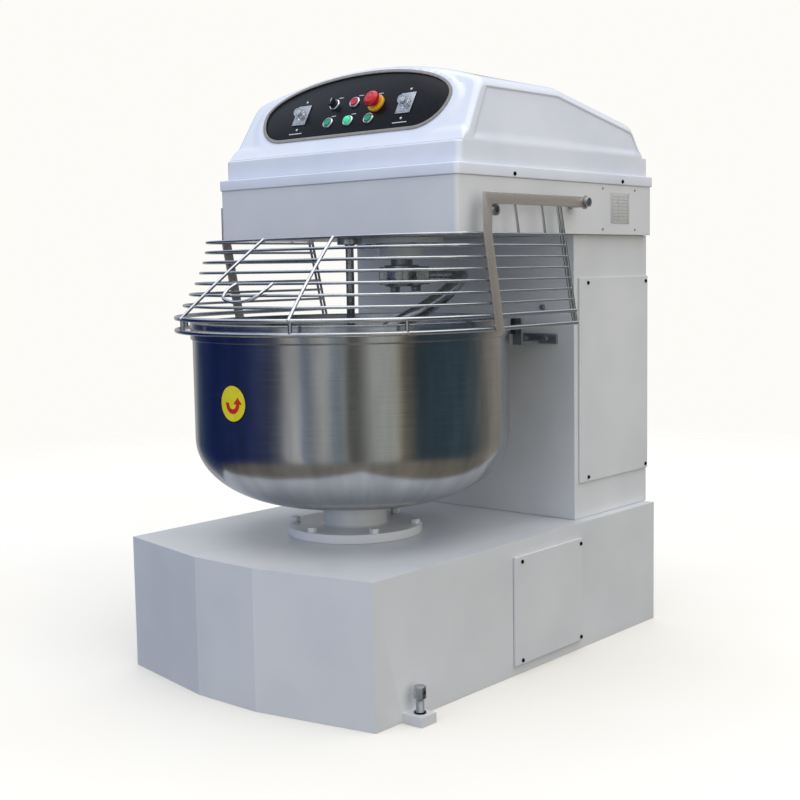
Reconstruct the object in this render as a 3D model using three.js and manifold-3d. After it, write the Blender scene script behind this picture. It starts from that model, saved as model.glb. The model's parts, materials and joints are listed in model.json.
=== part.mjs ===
// Spiral dough mixer: base, column and head of sheet steel, turning bowl, spiral hook,
// wire guard and control panel. Millimetres, +Z up, front towards -Y.
// The origin is on the floor, in the middle of the footprint.
import * as THREE from 'three';
import { mergeVertices } from 'three/addons/utils/BufferGeometryUtils.js';
import Module from 'manifold-3d';

const wasm = await Module();
wasm.setup();

// ---- Driving dimensions ----
const GAP = 0.3;                 // clearance between touching faces
const FIT = 0.7;                 // clearance on the radius between round pieces
const SHEET = 4;                 // housing wall

const BASE = { w: 400, front: -620, corner: -559, bend: 96, rear: 598, top: 325 };
const COLUMN = { w: 370, front: 251, rear: 606, top: 1053 };
const HEAD = { w: 390, front: -246, rear: 598, top: 1181 };
const LIP = { w: 394, front: -250, rear: 604, top: 1208 };
const BAND = { w: 384, front: -230, rear: 590, top: 1258 };

const BOWL = { y: -179, r: 387, floor: 406, corner: 572, flat: 130, wall: 3, top: 855 };
const RIM = { r: 392, low: 812 };
const NECK = { r: 79, top: 392, flange: 167, flangeTop: 347, boltCircle: 153, foot: 200 };
const SHAFT_R = 30;              // bowl shaft
const SPINDLE_R = 28;
const BOWL_SEAT = { r: 48, race: 24, upper: 345, lower: 205, shaftLow: 135, low: 70 };
const BOWL_DISC = { r: 86, lift: 2 };                   // disc that carries the bowl on the shaft

const HOOK = {
  y: 16, r: 155, bar: 19, top: 957, end: 472, turns: 1.35, facing: 40.8,
  start: 72, lead: 0.05, elbow: 0.07, steep: 0.55, clear: 9,
};
const CLAMP = { low: 930, high: 984, r: 46, inner: -58, outer: 71, half: 27 };
const SEAT = { r: 50, barrel: 60, flange: 108, low: 1000, high: 1092, race: 24, step: 4, shaftHigh: 1150 };
const POST = { r: 10, low: 430, foot: 30 };             // breaker bar

const GUARD = {
  leg: 424,                      // half-width over the straight legs
  wire: 3.5, ring: 5.5,
  top: 1050, bottom: 836, ringTop: 866, step: 26,
  pivotY: 202, pivotZ: 1129,
  endTop: 127, endBottom: 180,   // rear ends of the hoops at the top and at the bottom
  legTop: -255, depthTop: 100,   // where the top hoop's front starts, and how far it bows
  rodTop: 115, rodLow: 178, stubX: 365, rod: 4,
  barLow: 1116, barHigh: 1142, barThick: 5, eye: 17, pin: 7, washer: 12.5,
  stopY: -135,
};
const HANDLE = { half: 60, reach: 58, drop: 40 };
const RIM_GUIDE = { x: 250, low: 777, arm: 28, padLow: 806, top: 845, front: 170, depth: 24 };

const BELT_LOW = { z: 170, big: 160, small: 48, y: 330 };
const BELT_HIGH = { z: 1116, big: 150, small: 62, y: 430 };
const GROOVE = 10;               // how deep a belt sits below a pulley's edge
const MOTOR = { r: 118, fan: 108, flange: 125, low: 660, joint: 702, high: 1004, plate: 1030, shelf: 10 };
const GEARMOTOR = {
  half: 75, low: 40, high: 140, motorZ: 100, motorR: 58, motorEnd: 300, fanR: 52, fanEnd: 325,
};
const FRAME = { high: 40, rail: 60, half: 350 };        // welded floor frame

const PANEL = { y: -218, z: 1258, tilt: 60 };          // lower edge and slope of the panel face
const OUTLINE = { half: 302, mid: 125, rise: 100, flat: 215, drop: 79 };
const TRIM_EDGE = { out: 7, in: -4 };                   // trim's edges beside the outline

// ---- Colours: [colour, roughness, metalness] ----
const PAINT = ['#d9dcdc', 0.45, 0];
const GLOSS = ['#e6eaf2', 0.2, 0];
const STAINLESS = ['#b9bcc0', 0.3, 1];
const STEEL = ['#8d9196', 0.4, 1];
const IRON = ['#5b6066', 0.6, 0.6];
const RUBBER = ['#1c1c1d', 0.9, 0];
const BLACK = ['#15171c', 0.35, 0];
const RED = ['#c01822', 0.35, 0];
const GREEN = ['#12946a', 0.35, 0];
const YELLOW = ['#f2b632', 0.4, 0];
const CLEAR = ['#d6dde6', 0.1, 0];
const LAMP = ['#58e0ae', 0.15, 0];
const NYLON = ['#2e3033', 0.7, 0];
const ALUMINIUM = ['#c3c8d0', 0.35, 0.6];
const TRIM = ['#8f8a86', 0.4, 0.3];

const mixer = new THREE.Group();
const panelGroup = new THREE.Group();
panelGroup.position.set(0, PANEL.y, PANEL.z);
panelGroup.rotation.x = THREE.MathUtils.degToRad(PANEL.tilt);
mixer.add(panelGroup);

// ---- Solids and booleans ----
function solid(geometry) {
  const flat = geometry.clone();
  flat.deleteAttribute('normal');
  flat.deleteAttribute('uv');
  const merged = mergeVertices(flat, 1e-4);
  const verts = new Float32Array(merged.attributes.position.array);
  const index = merged.index.array;
  const tris = [];
  let volume = 0;
  const a = new THREE.Vector3();
  const b = new THREE.Vector3();
  const c = new THREE.Vector3();
  for (let i = 0; i < index.length; i += 3) {
    const [p, q, r] = [index[i], index[i + 1], index[i + 2]];
    if (p === q || q === r || r === p) continue;
    tris.push(p, q, r);
    a.fromArray(verts, 3 * p);
    b.fromArray(verts, 3 * q);
    c.fromArray(verts, 3 * r);
    volume += a.dot(b.cross(c));
  }
  const triVerts = new Uint32Array(tris);
  if (volume < 0) {
    for (let i = 0; i < triVerts.length; i += 3) {
      [triVerts[i], triVerts[i + 1]] = [triVerts[i + 1], triVerts[i]];
    }
  }
  return new wasm.Manifold(new wasm.Mesh({ numProp: 3, vertProperties: verts, triVerts }));
}

const join = (...parts) => parts.reduce((sum, part) => sum.add(part));
const cut = (body, ...tools) => tools.reduce((left, tool) => left.subtract(tool), body);

function add(name, shape, [color, roughness, metalness], group = mixer) {
  const mesh = shape.getMesh();
  const geometry = new THREE.BufferGeometry();
  geometry.setAttribute('position', new THREE.BufferAttribute(mesh.vertProperties, 3));
  geometry.setIndex(new THREE.BufferAttribute(mesh.triVerts, 1));
  geometry.computeVertexNormals();
  const material = new THREE.MeshStandardMaterial({ color, roughness, metalness });
  const piece = new THREE.Mesh(geometry, material);
  piece.name = name;
  group.add(piece);
}

function box(x0, x1, y0, y1, z0, z1) {
  const geometry = new THREE.BoxGeometry(x1 - x0, y1 - y0, z1 - z0);
  return solid(geometry.translate((x0 + x1) / 2, (y0 + y1) / 2, (z0 + z1) / 2));
}

// Upright prism on a plan outline of [x, y] points.
function prism(points, z0, z1) {
  const shape = new THREE.Shape(points.map(([x, y]) => new THREE.Vector2(x, y)));
  const geometry = new THREE.ExtrudeGeometry(shape, { depth: z1 - z0, bevelEnabled: false });
  return solid(geometry.translate(0, 0, z0));
}

// Round piece about an upright axis at x, y from a profile of [radius, z] points.
function turned(profile, x, y, segments = 20) {
  const points = profile.map(([r, z]) => new THREE.Vector2(r, z));
  const geometry = new THREE.LatheGeometry(points, segments);
  return solid(geometry.rotateX(Math.PI / 2).translate(x, y, 0));
}

const disc = (x, y, r, z0, z1, segments = 20) =>
  turned([[0, z0], [r, z0], [r, z1], [0, z1]], x, y, segments);

const ring = (x, y, inner, outer, z0, z1, segments = 20) =>
  turned([[inner, z0], [outer, z0], [outer, z1], [inner, z1], [inner, z0]], x, y, segments);

// Rod along X.
function crossRod(x0, x1, y, z, r, segments = 14) {
  const geometry = new THREE.CylinderGeometry(r, r, x1 - x0, segments);
  return solid(geometry.rotateZ(Math.PI / 2).translate((x0 + x1) / 2, y, z));
}

// Round bar along a curve.
function bar(curve, r, sides, steps) {
  const section = new THREE.Shape();
  for (let i = 0; i < sides; i += 1) {
    const angle = (2 * Math.PI * (i + 0.5)) / sides;
    const point = [r * Math.cos(angle), r * Math.sin(angle)];
    if (i === 0) section.moveTo(...point);
    else section.lineTo(...point);
  }
  return solid(new THREE.ExtrudeGeometry(section, { extrudePath: curve, steps, bevelEnabled: false }));
}

const straight = (from, to, r, sides = 4) =>
  bar(new THREE.LineCurve3(new THREE.Vector3(...from), new THREE.Vector3(...to)), r, sides, 1);

// ---- Base ----
function baseOutline(inset) {
  const w = BASE.w - inset;
  const bend = BASE.bend - inset * 0.1;
  return [
    [-w, BASE.rear - inset], [-w, BASE.corner + inset * 0.9], [-bend, BASE.front + inset],
    [bend, BASE.front + inset], [w, BASE.corner + inset * 0.9], [w, BASE.rear - inset],
  ];
}

const SIDE_COVER = { y0: -64, y1: 226, z0: 24, z1: 289 };
const COLUMN_COVER = { y0: 267, y1: 604, z0: 419, z1: 945 };
const REAR_COVER = { w: 275, z0: 455, z1: 925, slots: 6, slotZ: 540, pitch: 22, slotW: 110 };
const DATA_PLATE = { y0: 392, y1: 481, z0: 1083, z1: 1161, thick: 1.5 };
const LUG = { x: 455, y0: -474, y1: -424, z: 22, screwX: 430 };
const lugY = (LUG.y0 + LUG.y1) / 2;
const SCREW_R = 9.5;
const SCREW_HEAD = { r: 14, low: 57, high: 82, holeZ: 69, holeR: 4.5 };
const BOLTS = 6;
const BOLT_HOLE = 8.5;
const EDGE = 25;                 // how far a cover reaches past its opening
const COVER = { base: 8, column: 6, rim: 12, skin: 2 };

// A solid for each bolt of the flange under the bowl.
function boltRing(make) {
  return Array.from({ length: BOLTS }, (_, i) => {
    const angle = (2 * Math.PI * i) / BOLTS - Math.PI / 2;
    return make(NECK.boltCircle * Math.cos(angle), BOWL.y + NECK.boltCircle * Math.sin(angle));
  });
}

// Opening through both side walls behind a pair of covers.
function hatch(w, { y0, y1, z0, z1 }) {
  return box(-w - 9, w + 9, y0 + EDGE, y1 - EDGE, z0 + EDGE, z1 - EDGE);
}

// Pressed cover with a turned-in rim, on one side of a housing.
function sideCover(side, w, thick, { y0, y1, z0, z1 }) {
  const span = (a, b) => (side > 0 ? [a, b] : [-b, -a]);
  return cut(
    box(...span(w + GAP, w + GAP + thick), y0, y1, z0, z1),
    box(...span(w - 1, w + GAP + thick - COVER.skin),
      y0 + COVER.rim, y1 - COVER.rim, z0 + COVER.rim, z1 - COVER.rim),
  );
}

function makeBase() {
  let shell = cut(
    prism(baseOutline(0), 0, BASE.top),
    prism(baseOutline(SHEET), -1, BASE.top - SHEET),
    disc(0, BOWL.y, NECK.r - 6, BASE.top - 20, BASE.top + 1),
    box(-300, 300, COLUMN.front + 20, COLUMN.rear - 30, BASE.top - 20, BASE.top + 1),
    hatch(BASE.w, SIDE_COVER),
    ...boltRing((x, y) => disc(x, y, BOLT_HOLE + 0.5, BASE.top - 20, BASE.top + 1, 8)),
  );
  for (const side of [-1, 1]) {
    const x = [side * (BASE.w - 1), side * LUG.x].sort((a, b) => a - b);
    const lug = cut(
      box(x[0], x[1], LUG.y0, LUG.y1, 0, LUG.z),
      disc(side * LUG.screwX, lugY, SCREW_R + 0.5, -1, LUG.z + 1, 14),
    );
    shell = join(shell, lug);
  }
  add('base_housing', shell, PAINT);

  // Welded floor frame: a rail all round and cross members under the motor and the shaft.
  const { high, rail: width, half } = FRAME;
  const rail = cut(prism(baseOutline(SHEET + GAP), 0, high), prism(baseOutline(width), -1, high + 1));
  const members = [-300, BOWL.y - width / 2, 230, 400].map((y) => box(-half, half, y, y + width, 0, high));
  add('base_frame', join(rail, ...members), IRON);

  for (const [side, label] of [[-1, 'left'], [1, 'right']]) {
    add(`base_side_cover_${label}`, sideCover(side, BASE.w, COVER.base, SIDE_COVER), PAINT);
    const x = side * LUG.screwX;
    const head = SCREW_HEAD;
    const screw = turned([
      [0, 1], [SCREW_R - 2, 1], [SCREW_R, 3], [SCREW_R, head.low - 2], [head.r, head.low],
      [head.r, head.high - 3], [head.r - 2, head.high], [0, head.high],
    ], x, lugY, 14);
    const hole = crossRod(x - 20, x + 20, lugY, head.holeZ, head.holeR, 8);
    add(`levelling_screw_${label}`, cut(screw, hole), STEEL);
  }
}

// ---- Bowl, its bearing and its drive ----
// Radius of the bowl's outer skin at a height, and the inner skin when inset is the wall.
function bowlProfile(inset, top, steps) {
  const points = [[0, BOWL.floor + inset]];
  for (let i = 0; i <= steps; i += 1) {
    const angle = (Math.PI / 2) * (i / steps);
    const r = BOWL.flat + (BOWL.r - BOWL.flat - inset) * Math.sin(angle);
    const z = BOWL.corner - (BOWL.corner - BOWL.floor - inset) * Math.cos(angle);
    points.push([r, z]);
  }
  return [...points, [BOWL.r - inset, top]];
}

function bowlRadius(z) {
  if (z >= BOWL.corner) return BOWL.r - BOWL.wall;
  const drop = Math.min(1, (BOWL.corner - z) / (BOWL.corner - BOWL.floor - BOWL.wall));
  return BOWL.flat + (BOWL.r - BOWL.flat - BOWL.wall) * Math.sqrt(1 - drop * drop);
}

// Pulley rim with V grooves; every groove is at its own height.
function pulley(x, y, outer, bore, z0, z1, grooves, segments) {
  const profile = [[bore, z0], [outer, z0]];
  for (const z of grooves) {
    profile.push([outer, z - 8], [outer - 12, z - 5.5], [outer - 12, z + 5.5], [outer, z + 8]);
  }
  profile.push([outer, z1], [bore, z1], [bore, z0]);
  return turned(profile, x, y, segments);
}

// Endless belt round two pulleys on the Y axis.
function belt(yBig, rBig, ySmall, rSmall, z0, z1) {
  const lean = Math.asin((rBig - rSmall) / (ySmall - yBig));
  const outline = (grow) => {
    const points = [];
    for (let i = 0; i <= 16; i += 1) {
      const angle = Math.PI - lean + ((Math.PI + 2 * lean) * i) / 16;
      points.push([(rBig + grow) * Math.cos(angle), yBig + (rBig + grow) * Math.sin(angle)]);
    }
    for (let i = 0; i <= 8; i += 1) {
      const angle = lean + ((Math.PI - 2 * lean) * i) / 8;
      points.push([(rSmall + grow) * Math.cos(angle), ySmall + (rSmall + grow) * Math.sin(angle)]);
    }
    return points;
  };
  return cut(prism(outline(9), z0, z1), prism(outline(0), z0 - 1, z1 + 1));
}

function makeBowlDrive() {
  const { r: bore, race, upper, lower, shaftLow, low } = BOWL_SEAT;
  const housing = cut(
    turned([
      [bore, NECK.foot], [low, NECK.foot], [low, BASE.top + GAP], [NECK.flange, BASE.top + GAP],
      [NECK.flange, NECK.flangeTop - 2], [NECK.flange - 2, NECK.flangeTop], [NECK.r + 5, NECK.flangeTop],
      [NECK.r, NECK.flangeTop + 6], [NECK.r, NECK.top - 2], [NECK.r - 2, NECK.top], [bore, NECK.top],
      [bore, NECK.foot],
    ], 0, BOWL.y, 24),
    ...boltRing((x, y) => disc(x, y, BOLT_HOLE, BASE.top, NECK.flangeTop + 1, 8)),
  );
  add('bearing_housing', housing, PAINT);
  const race0 = SHAFT_R + FIT;
  add('bowl_bearing_upper', ring(0, BOWL.y, race0, bore - FIT, upper, upper + race), STEEL);
  add('bowl_bearing_lower', ring(0, BOWL.y, race0, bore - FIT, lower, lower + race), STEEL);
  add('bowl_shaft', disc(0, BOWL.y, SHAFT_R, shaftLow, BOWL.floor - GAP), STEEL);
  const under = NECK.top + BOWL_DISC.lift;
  const plate = turned([
    [race0, under], [BOWL_DISC.r - 2, under], [BOWL_DISC.r, under + 2], [BOWL_DISC.r, BOWL.floor - GAP],
    [race0, BOWL.floor - GAP], [race0, under],
  ], 0, BOWL.y, 28);
  add('bowl_mounting_disc', plate, STAINLESS);

  const outer = bowlProfile(0, RIM.low, 8);
  const inner = bowlProfile(BOWL.wall, BOWL.top - 3, 8).reverse();
  const rim = [[RIM.r, RIM.low + 5], [RIM.r, BOWL.top - 3], [RIM.r - 3, BOWL.top], [BOWL.r, BOWL.top]];
  add('bowl', turned([...outer, ...rim, ...inner], 0, BOWL.y, 32), STAINLESS);

  const { z, big, small, y } = BELT_LOW;
  add('bowl_pulley', pulley(0, BOWL.y, big, SHAFT_R + FIT, z - 14, z + 14, [z], 20), IRON);
  const driver = join(
    pulley(0, y, small, 0, z - 14, z + 14, [z], 16),
    disc(0, y, 14, GEARMOTOR.high + 6, z - 13, 12),
  );
  add('bowl_motor_pulley', driver, IRON);
  add('bowl_belt', belt(BOWL.y, big - GROOVE, y, small - GROOVE, z - 5, z + 5), RUBBER);
  const { half, high, motorZ, motorR, motorEnd, fanR, fanEnd } = GEARMOTOR;
  const gearmotor = join(
    box(-half, half, y - half, y + half, GEARMOTOR.low + GAP, high),
    crossRod(half - 15, motorEnd, y, motorZ, motorR, 20),
    crossRod(motorEnd - 5, fanEnd, y, motorZ, fanR, 20),
    cut(disc(0, y, 30, high - 1, high + 5, 24), disc(0, y, 16, high - 2, high + 6, 16)),
  );
  add('bowl_gearmotor', gearmotor, IRON);
}

// ---- Column ----
function makeColumn() {
  const { w, front, rear, top } = COLUMN;
  const bottom = BASE.top + GAP;
  const back = REAR_COVER;
  const shell = cut(
    box(-w, w, front, rear, bottom, top),
    box(-w + SHEET, w - SHEET, front + SHEET, rear - SHEET, bottom - 1, top + 1),
    hatch(w, COLUMN_COVER),
    box(-back.w + EDGE, back.w - EDGE, rear - 20, rear + 20, back.z0 + EDGE, back.z1 - EDGE),
  );
  add('column_housing', shell, PAINT);
  for (const [side, label] of [[-1, 'left'], [1, 'right']]) {
    add(`column_side_cover_${label}`, sideCover(side, w, COVER.column, COLUMN_COVER), PAINT);
  }
  // Rear cover with a block of cooling slots.
  const slots = [];
  for (let i = 0; i < back.slots; i += 1) {
    const z = back.slotZ + back.pitch * i;
    slots.push(box(-back.slotW, back.slotW, rear - 5, rear + 20, z, z + 8));
  }
  const inside = back.w - COVER.rim;
  const rearCover = cut(
    box(-back.w, back.w, rear + GAP, rear + 14, back.z0, back.z1),
    box(-inside, inside, rear - 1, rear + 12, back.z0 + COVER.rim, back.z1 - COVER.rim),
    ...slots,
  );
  add('rear_cover', rearCover, PAINT);

  const { y } = BELT_HIGH;
  const { r, fan, flange, low, joint, high, plate: shelfZ, shelf } = MOTOR;
  const plate = cut(
    box(-w + SHEET + GAP, w - SHEET - GAP, y - 130, y + 130, shelfZ, shelfZ + shelf),
    disc(0, y, 30, shelfZ - 10, shelfZ + 20, 24),
  );
  add('motor_plate', plate, IRON);
  const motor = join(
    disc(0, y, r, joint - 2, high + 1, 24),
    disc(0, y, fan, low, joint + 3, 24),
    disc(0, y, flange, high, shelfZ - GAP, 24),
    box(r - 6, r + 57, y - 45, y + 45, 820, 920),
  );
  add('main_motor', motor, IRON);

  // Guide that steadies the bowl rim: a bolted plate, an arm and a nylon pad.
  const guide = RIM_GUIDE;
  const left = guide.x - guide.arm / 2;
  const right = guide.x + guide.arm / 2;
  const bracket = join(
    box(guide.x - 38, guide.x + 71, front - 8, front - GAP, guide.low, guide.low + 26),
    box(left, right, guide.front + 8, front - 7, guide.low, guide.low + 8),
    box(left, right, guide.front, guide.front + 8, guide.low, guide.top),
  );
  add('rim_guide_bracket', bracket, STEEL);
  const pad = box(left + 2, right - 2, guide.front - guide.depth, guide.front - GAP, guide.padLow, guide.top);
  add('rim_guide_pad', pad, NYLON);
}

// ---- Head ----
function roundedPlan(w, front, rear, radius) {
  const points = [];
  const corners = [[w, front, -90], [w, rear, 0], [-w, rear, 90], [-w, front, 180]];
  for (const [x, y, start] of corners) {
    const cx = x - Math.sign(x) * radius;
    const cy = y === front ? y + radius : y - radius;
    for (let i = 0; i <= 3; i += 1) {
      const angle = THREE.MathUtils.degToRad(start + 30 * i);
      points.push([cx + radius * Math.cos(angle), cy + radius * Math.sin(angle)]);
    }
  }
  return points;
}

function makeHead() {
  const { w, front, rear, top } = HEAD;
  const bottom = COLUMN.top + GAP;
  const shell = cut(
    prism(roundedPlan(w, front, rear, 10), bottom, top),
    prism(roundedPlan(w - SHEET, front + SHEET, rear - SHEET, 6), bottom + SHEET, top + 1),
    box(-345, 345, COLUMN.front + 12, COLUMN.rear - 30, bottom - 1, bottom + 10),
    disc(0, HOOK.y, SEAT.barrel + 4, bottom - 1, bottom + 10, 32),
  );
  add('head_housing', shell, PAINT);
  const { y0, y1, z0, z1, thick } = DATA_PLATE;
  add('data_plate', box(w + GAP, w + GAP + thick, y0, y1, z0, z1), ALUMINIUM);
}

// Top of the hood over the panel slope, the crowned roof and the sloping back.
const ROOF = { shoulder: 350, shoulderZ: 1410, crown: 57, frontEnd: 180, backEnd: 523, backDrop: 68 };

function hoodTop(x, y, inset) {
  const slope = Math.tan(THREE.MathUtils.degToRad(PANEL.tilt));
  const rise = (y - PANEL.y) * slope - inset * 2;
  const back = (562 - y) * 1.9 - inset * 2;
  const along = Math.max(0, Math.min(1, (y - ROOF.frontEnd) / (ROOF.backEnd - ROOF.frontEnd)));
  const early = Math.max(0, Math.min(1, (y + 90) / (ROOF.frontEnd + 90)));
  const crown = ROOF.crown - 17 * early - 25 * along;
  const roof = ROOF.shoulderZ - ROOF.backDrop * along - BAND.top - inset
    + crown * (1 - (x / ROOF.shoulder) ** 2);
  const soft = 7;
  const blend = (a, b) => -soft * Math.log(Math.exp(-a / soft) + Math.exp(-b / soft));
  return BAND.top + Math.max(3, blend(blend(rise, roof), back));
}

function hoodSection(y, inset) {
  const wall = (z) => BAND.w - inset - Math.max(0, z - BAND.top) * 0.1;
  const edge = hoodTop(ROOF.shoulder, y, inset);
  const height = edge - BAND.top;
  const radius = Math.min(26, height * 0.6);
  const half = [];
  const turn = wall(edge - radius);
  half.push([wall(BAND.top), BAND.top - 8], [wall(BAND.top), BAND.top], [turn, edge - radius]);
  for (let i = 1; i <= 2; i += 1) {
    const angle = (Math.PI / 2) * (i / 2);
    const x = turn - radius + radius * Math.cos(angle);
    const full = hoodTop(x, y, inset);
    half.push([x, full - radius + radius * Math.sin(angle)]);
  }
  const across = 4;
  for (let i = 1; i <= across; i += 1) {
    const x = (turn - radius) * (1 - i / across);
    half.push([x, hoodTop(x, y, inset)]);
  }
  const mirrored = half.slice(0, -1).reverse().map(([x, z]) => [-x, z]);
  return [...half, ...mirrored];
}

// Closed body through the sections at the stations along Y.
function loft(stations, inset) {
  const sections = stations.map((y) => hoodSection(y, inset).map(([x, z]) => [x, y, z]));
  const count = sections[0].length;
  const index = [];
  const at = (i, j) => i * count + (j % count);
  for (let i = 0; i + 1 < sections.length; i += 1) {
    for (let j = 0; j < count; j += 1) {
      index.push(at(i, j), at(i + 1, j), at(i, j + 1));
      index.push(at(i, j + 1), at(i + 1, j), at(i + 1, j + 1));
    }
  }
  const capIndex = THREE.ShapeUtils.triangulateShape(
    sections[0].map(([x, , z]) => new THREE.Vector2(x, z)), []);
  const lastIndex = THREE.ShapeUtils.triangulateShape(
    sections.at(-1).map(([x, , z]) => new THREE.Vector2(x, z)), []);
  const last = (sections.length - 1) * count;
  for (const [a, b, c] of capIndex) index.push(a, b, c);
  for (const [a, b, c] of lastIndex) index.push(last + a, last + c, last + b);
  const geometry = new THREE.BufferGeometry();
  geometry.setAttribute('position', new THREE.Float32BufferAttribute(sections.flat(2), 3));
  geometry.setIndex(index);
  return solid(geometry);
}

// Panel outline in the plane of the slope, grown outwards by a margin.
function panelOutline(grow) {
  const points = [];
  for (let i = 0; i <= 20; i += 1) {
    const angle = (Math.PI * i) / 20;
    points.push([(OUTLINE.half + grow) * Math.cos(angle),
      OUTLINE.mid + (OUTLINE.rise + grow) * Math.sin(angle)]);
  }
  const corner = OUTLINE.half - OUTLINE.flat;
  for (let i = 1; i <= 11; i += 1) {
    const angle = Math.PI + (Math.PI / 2) * Math.min(i, 6) / 6 + (Math.PI / 2) * Math.max(0, i - 6) / 6;
    const side = i <= 6 ? -1 : 1;
    points.push([side * OUTLINE.flat + (corner + grow) * Math.cos(angle),
      OUTLINE.mid + (OUTLINE.drop + grow) * Math.sin(angle)]);
    if (i === 6) points.push([OUTLINE.flat, OUTLINE.mid - OUTLINE.drop - grow]);
  }
  return points;
}

function onPanel(shape) {
  return shape.rotate([PANEL.tilt, 0, 0]).translate([0, PANEL.y, PANEL.z]);
}

function makeHood() {
  const stations = [-216, -190, -150, -122, -106, -95, -80, -50, 60, 160, 200, 300, 420, 490, 515,
    530, 545, 558];
  const insideStations = stations.map((y) => y * 0.985 + 1.5);
  const lip = prism(roundedPlan(LIP.w, LIP.front, LIP.rear, 12), HEAD.top + GAP, LIP.top);
  const band = prism(roundedPlan(BAND.w, BAND.front, BAND.rear, 10), LIP.top - 2, BAND.top);
  const inside = prism(roundedPlan(BAND.w - SHEET, BAND.front + SHEET, BAND.rear - SHEET, 8),
    HEAD.top - 1, BAND.top - SHEET);
  const hood = cut(
    join(lip, band, loft(stations, 0)),
    inside,
    loft(insideStations, SHEET),
    onPanel(prism(panelOutline(0), -14, 14)),
  );
  add('hood', hood, GLOSS);
}

// ---- Control panel: the group's X runs along the panel, Y up the slope, Z out of it ----
const CONTROLS = { upper: 140, lower: 87, pitch: 67, estop: 76, estopY: 126, timer: 172, timerY: 119 };
const BUTTON = { bezel: 15.5, barrel: 13.2, recess: 11.3, cap: 10.5, floor: -5, proud: 5, deep: -38 };
const TIMER = { half: 22.5, tall: 29, bodyHalf: 19.5, bodyTall: 24.5, deep: -62, plate: 3, knob: 15 };

// Bezel and barrel of a push button, hollow for its cap.
const bezel = (x, y) => turned([
  [0, BUTTON.deep], [BUTTON.barrel, BUTTON.deep], [BUTTON.barrel, -1], [BUTTON.bezel, -1],
  [BUTTON.bezel - 0.5, BUTTON.proud], [BUTTON.recess, BUTTON.proud], [BUTTON.recess, BUTTON.floor],
  [0, BUTTON.floor],
], x, y, 12);

// Body of a timer behind the panel, grown by a margin.
function timerBox(x, y, grow, z0, z1) {
  const { bodyHalf, bodyTall } = TIMER;
  return box(x - bodyHalf - grow, x + bodyHalf + grow, y - bodyTall - grow, y + bodyTall + grow, z0, z1);
}

function makePanel() {
  const { upper, lower, pitch, estop, estopY, timer, timerY } = CONTROLS;
  const places = [[-pitch, upper], [0, upper], [-pitch, lower], [0, lower], [pitch, lower]];
  let plate = cut(
    prism(panelOutline(-GAP), -3, 0),
    disc(estop, estopY, 13, -4, 1, 24),
    ...[-timer, timer].map((x) => timerBox(x, timerY, 0.5, -4, 1)),
    ...places.map(([x, y]) => disc(x, y, BUTTON.recess, -4, 1, 12)),
  );
  plate = join(plate, ...places.map(([x, y]) => bezel(x, y)));
  add('control_panel', plate, BLACK, panelGroup);
  const trim = cut(prism(panelOutline(TRIM_EDGE.out), GAP, 3), prism(panelOutline(TRIM_EDGE.in), -1, 4));
  add('panel_trim', trim, TRIM, panelGroup);

  for (const [side, label] of [[-1, 'left'], [1, 'right']]) {
    const x = side * timer;
    const { half, tall, deep, plate: face, knob: skirt } = TIMER;
    const body = join(
      box(x - half, x + half, timerY - tall, timerY + tall, GAP, face),
      timerBox(x, timerY, 0, deep, 1),
    );
    add(`timer_${label}`, cut(body, disc(x, timerY, 4, -8, face + 1, 12)), ALUMINIUM, panelGroup);
    const knob = join(
      turned([
        [0, face + GAP], [skirt, face + GAP], [skirt, 10], [skirt - 3.5, 11], [skirt - 4, 21],
        [skirt - 5.5, 22.5], [0, 22.5],
      ], x, timerY, 16),
      disc(x, timerY, 3.6, -7, face + 1, 8),
    );
    add(`timer_knob_${label}`, knob, CLEAR, panelGroup);
  }

  const cap = (x, y) => turned([
    [0, -0.5], [BUTTON.cap, -0.5], [BUTTON.cap, 6.5], [BUTTON.cap - 1.2, 7.8], [0, 7.8],
  ], x, y, 14);
  add('stop_button', cap(0, upper), RED, panelGroup);
  add('start_button', cap(-pitch, lower), GREEN, panelGroup);
  add('jog_button', cap(pitch, lower), GREEN, panelGroup);
  const lens = turned([
    [0, BUTTON.floor + GAP], [BUTTON.cap, BUTTON.floor + GAP], [BUTTON.cap, 7], [9, 10.5], [5, 12.5], [0, 13],
  ], 0, lower, 14);
  add('run_lamp', lens, LAMP, panelGroup);
  const selector = join(
    disc(-pitch, upper, BUTTON.cap, BUTTON.floor + GAP, 8, 24),
    box(-pitch - 4, -pitch + 4, upper - 10, upper + 10, 7, 19),
  );
  add('selector_knob', selector, BLACK, panelGroup);

  const collar = turned([
    [0, -42], [12.6, -42], [12.6, GAP], [23, GAP], [23, 7], [22, 8], [9.6, 8], [9.6, -8], [0, -8],
  ], estop, estopY, 20);
  add('estop_collar', collar, YELLOW, panelGroup);
  const mushroom = turned([
    [0, -1], [9.2, -1], [9.2, 14.5], [17, 15.5], [20, 19], [20, 25], [17.5, 30], [11, 32.5], [0, 33.5],
  ], estop, estopY, 20);
  add('estop_button', mushroom, RED, panelGroup);
}

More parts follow.
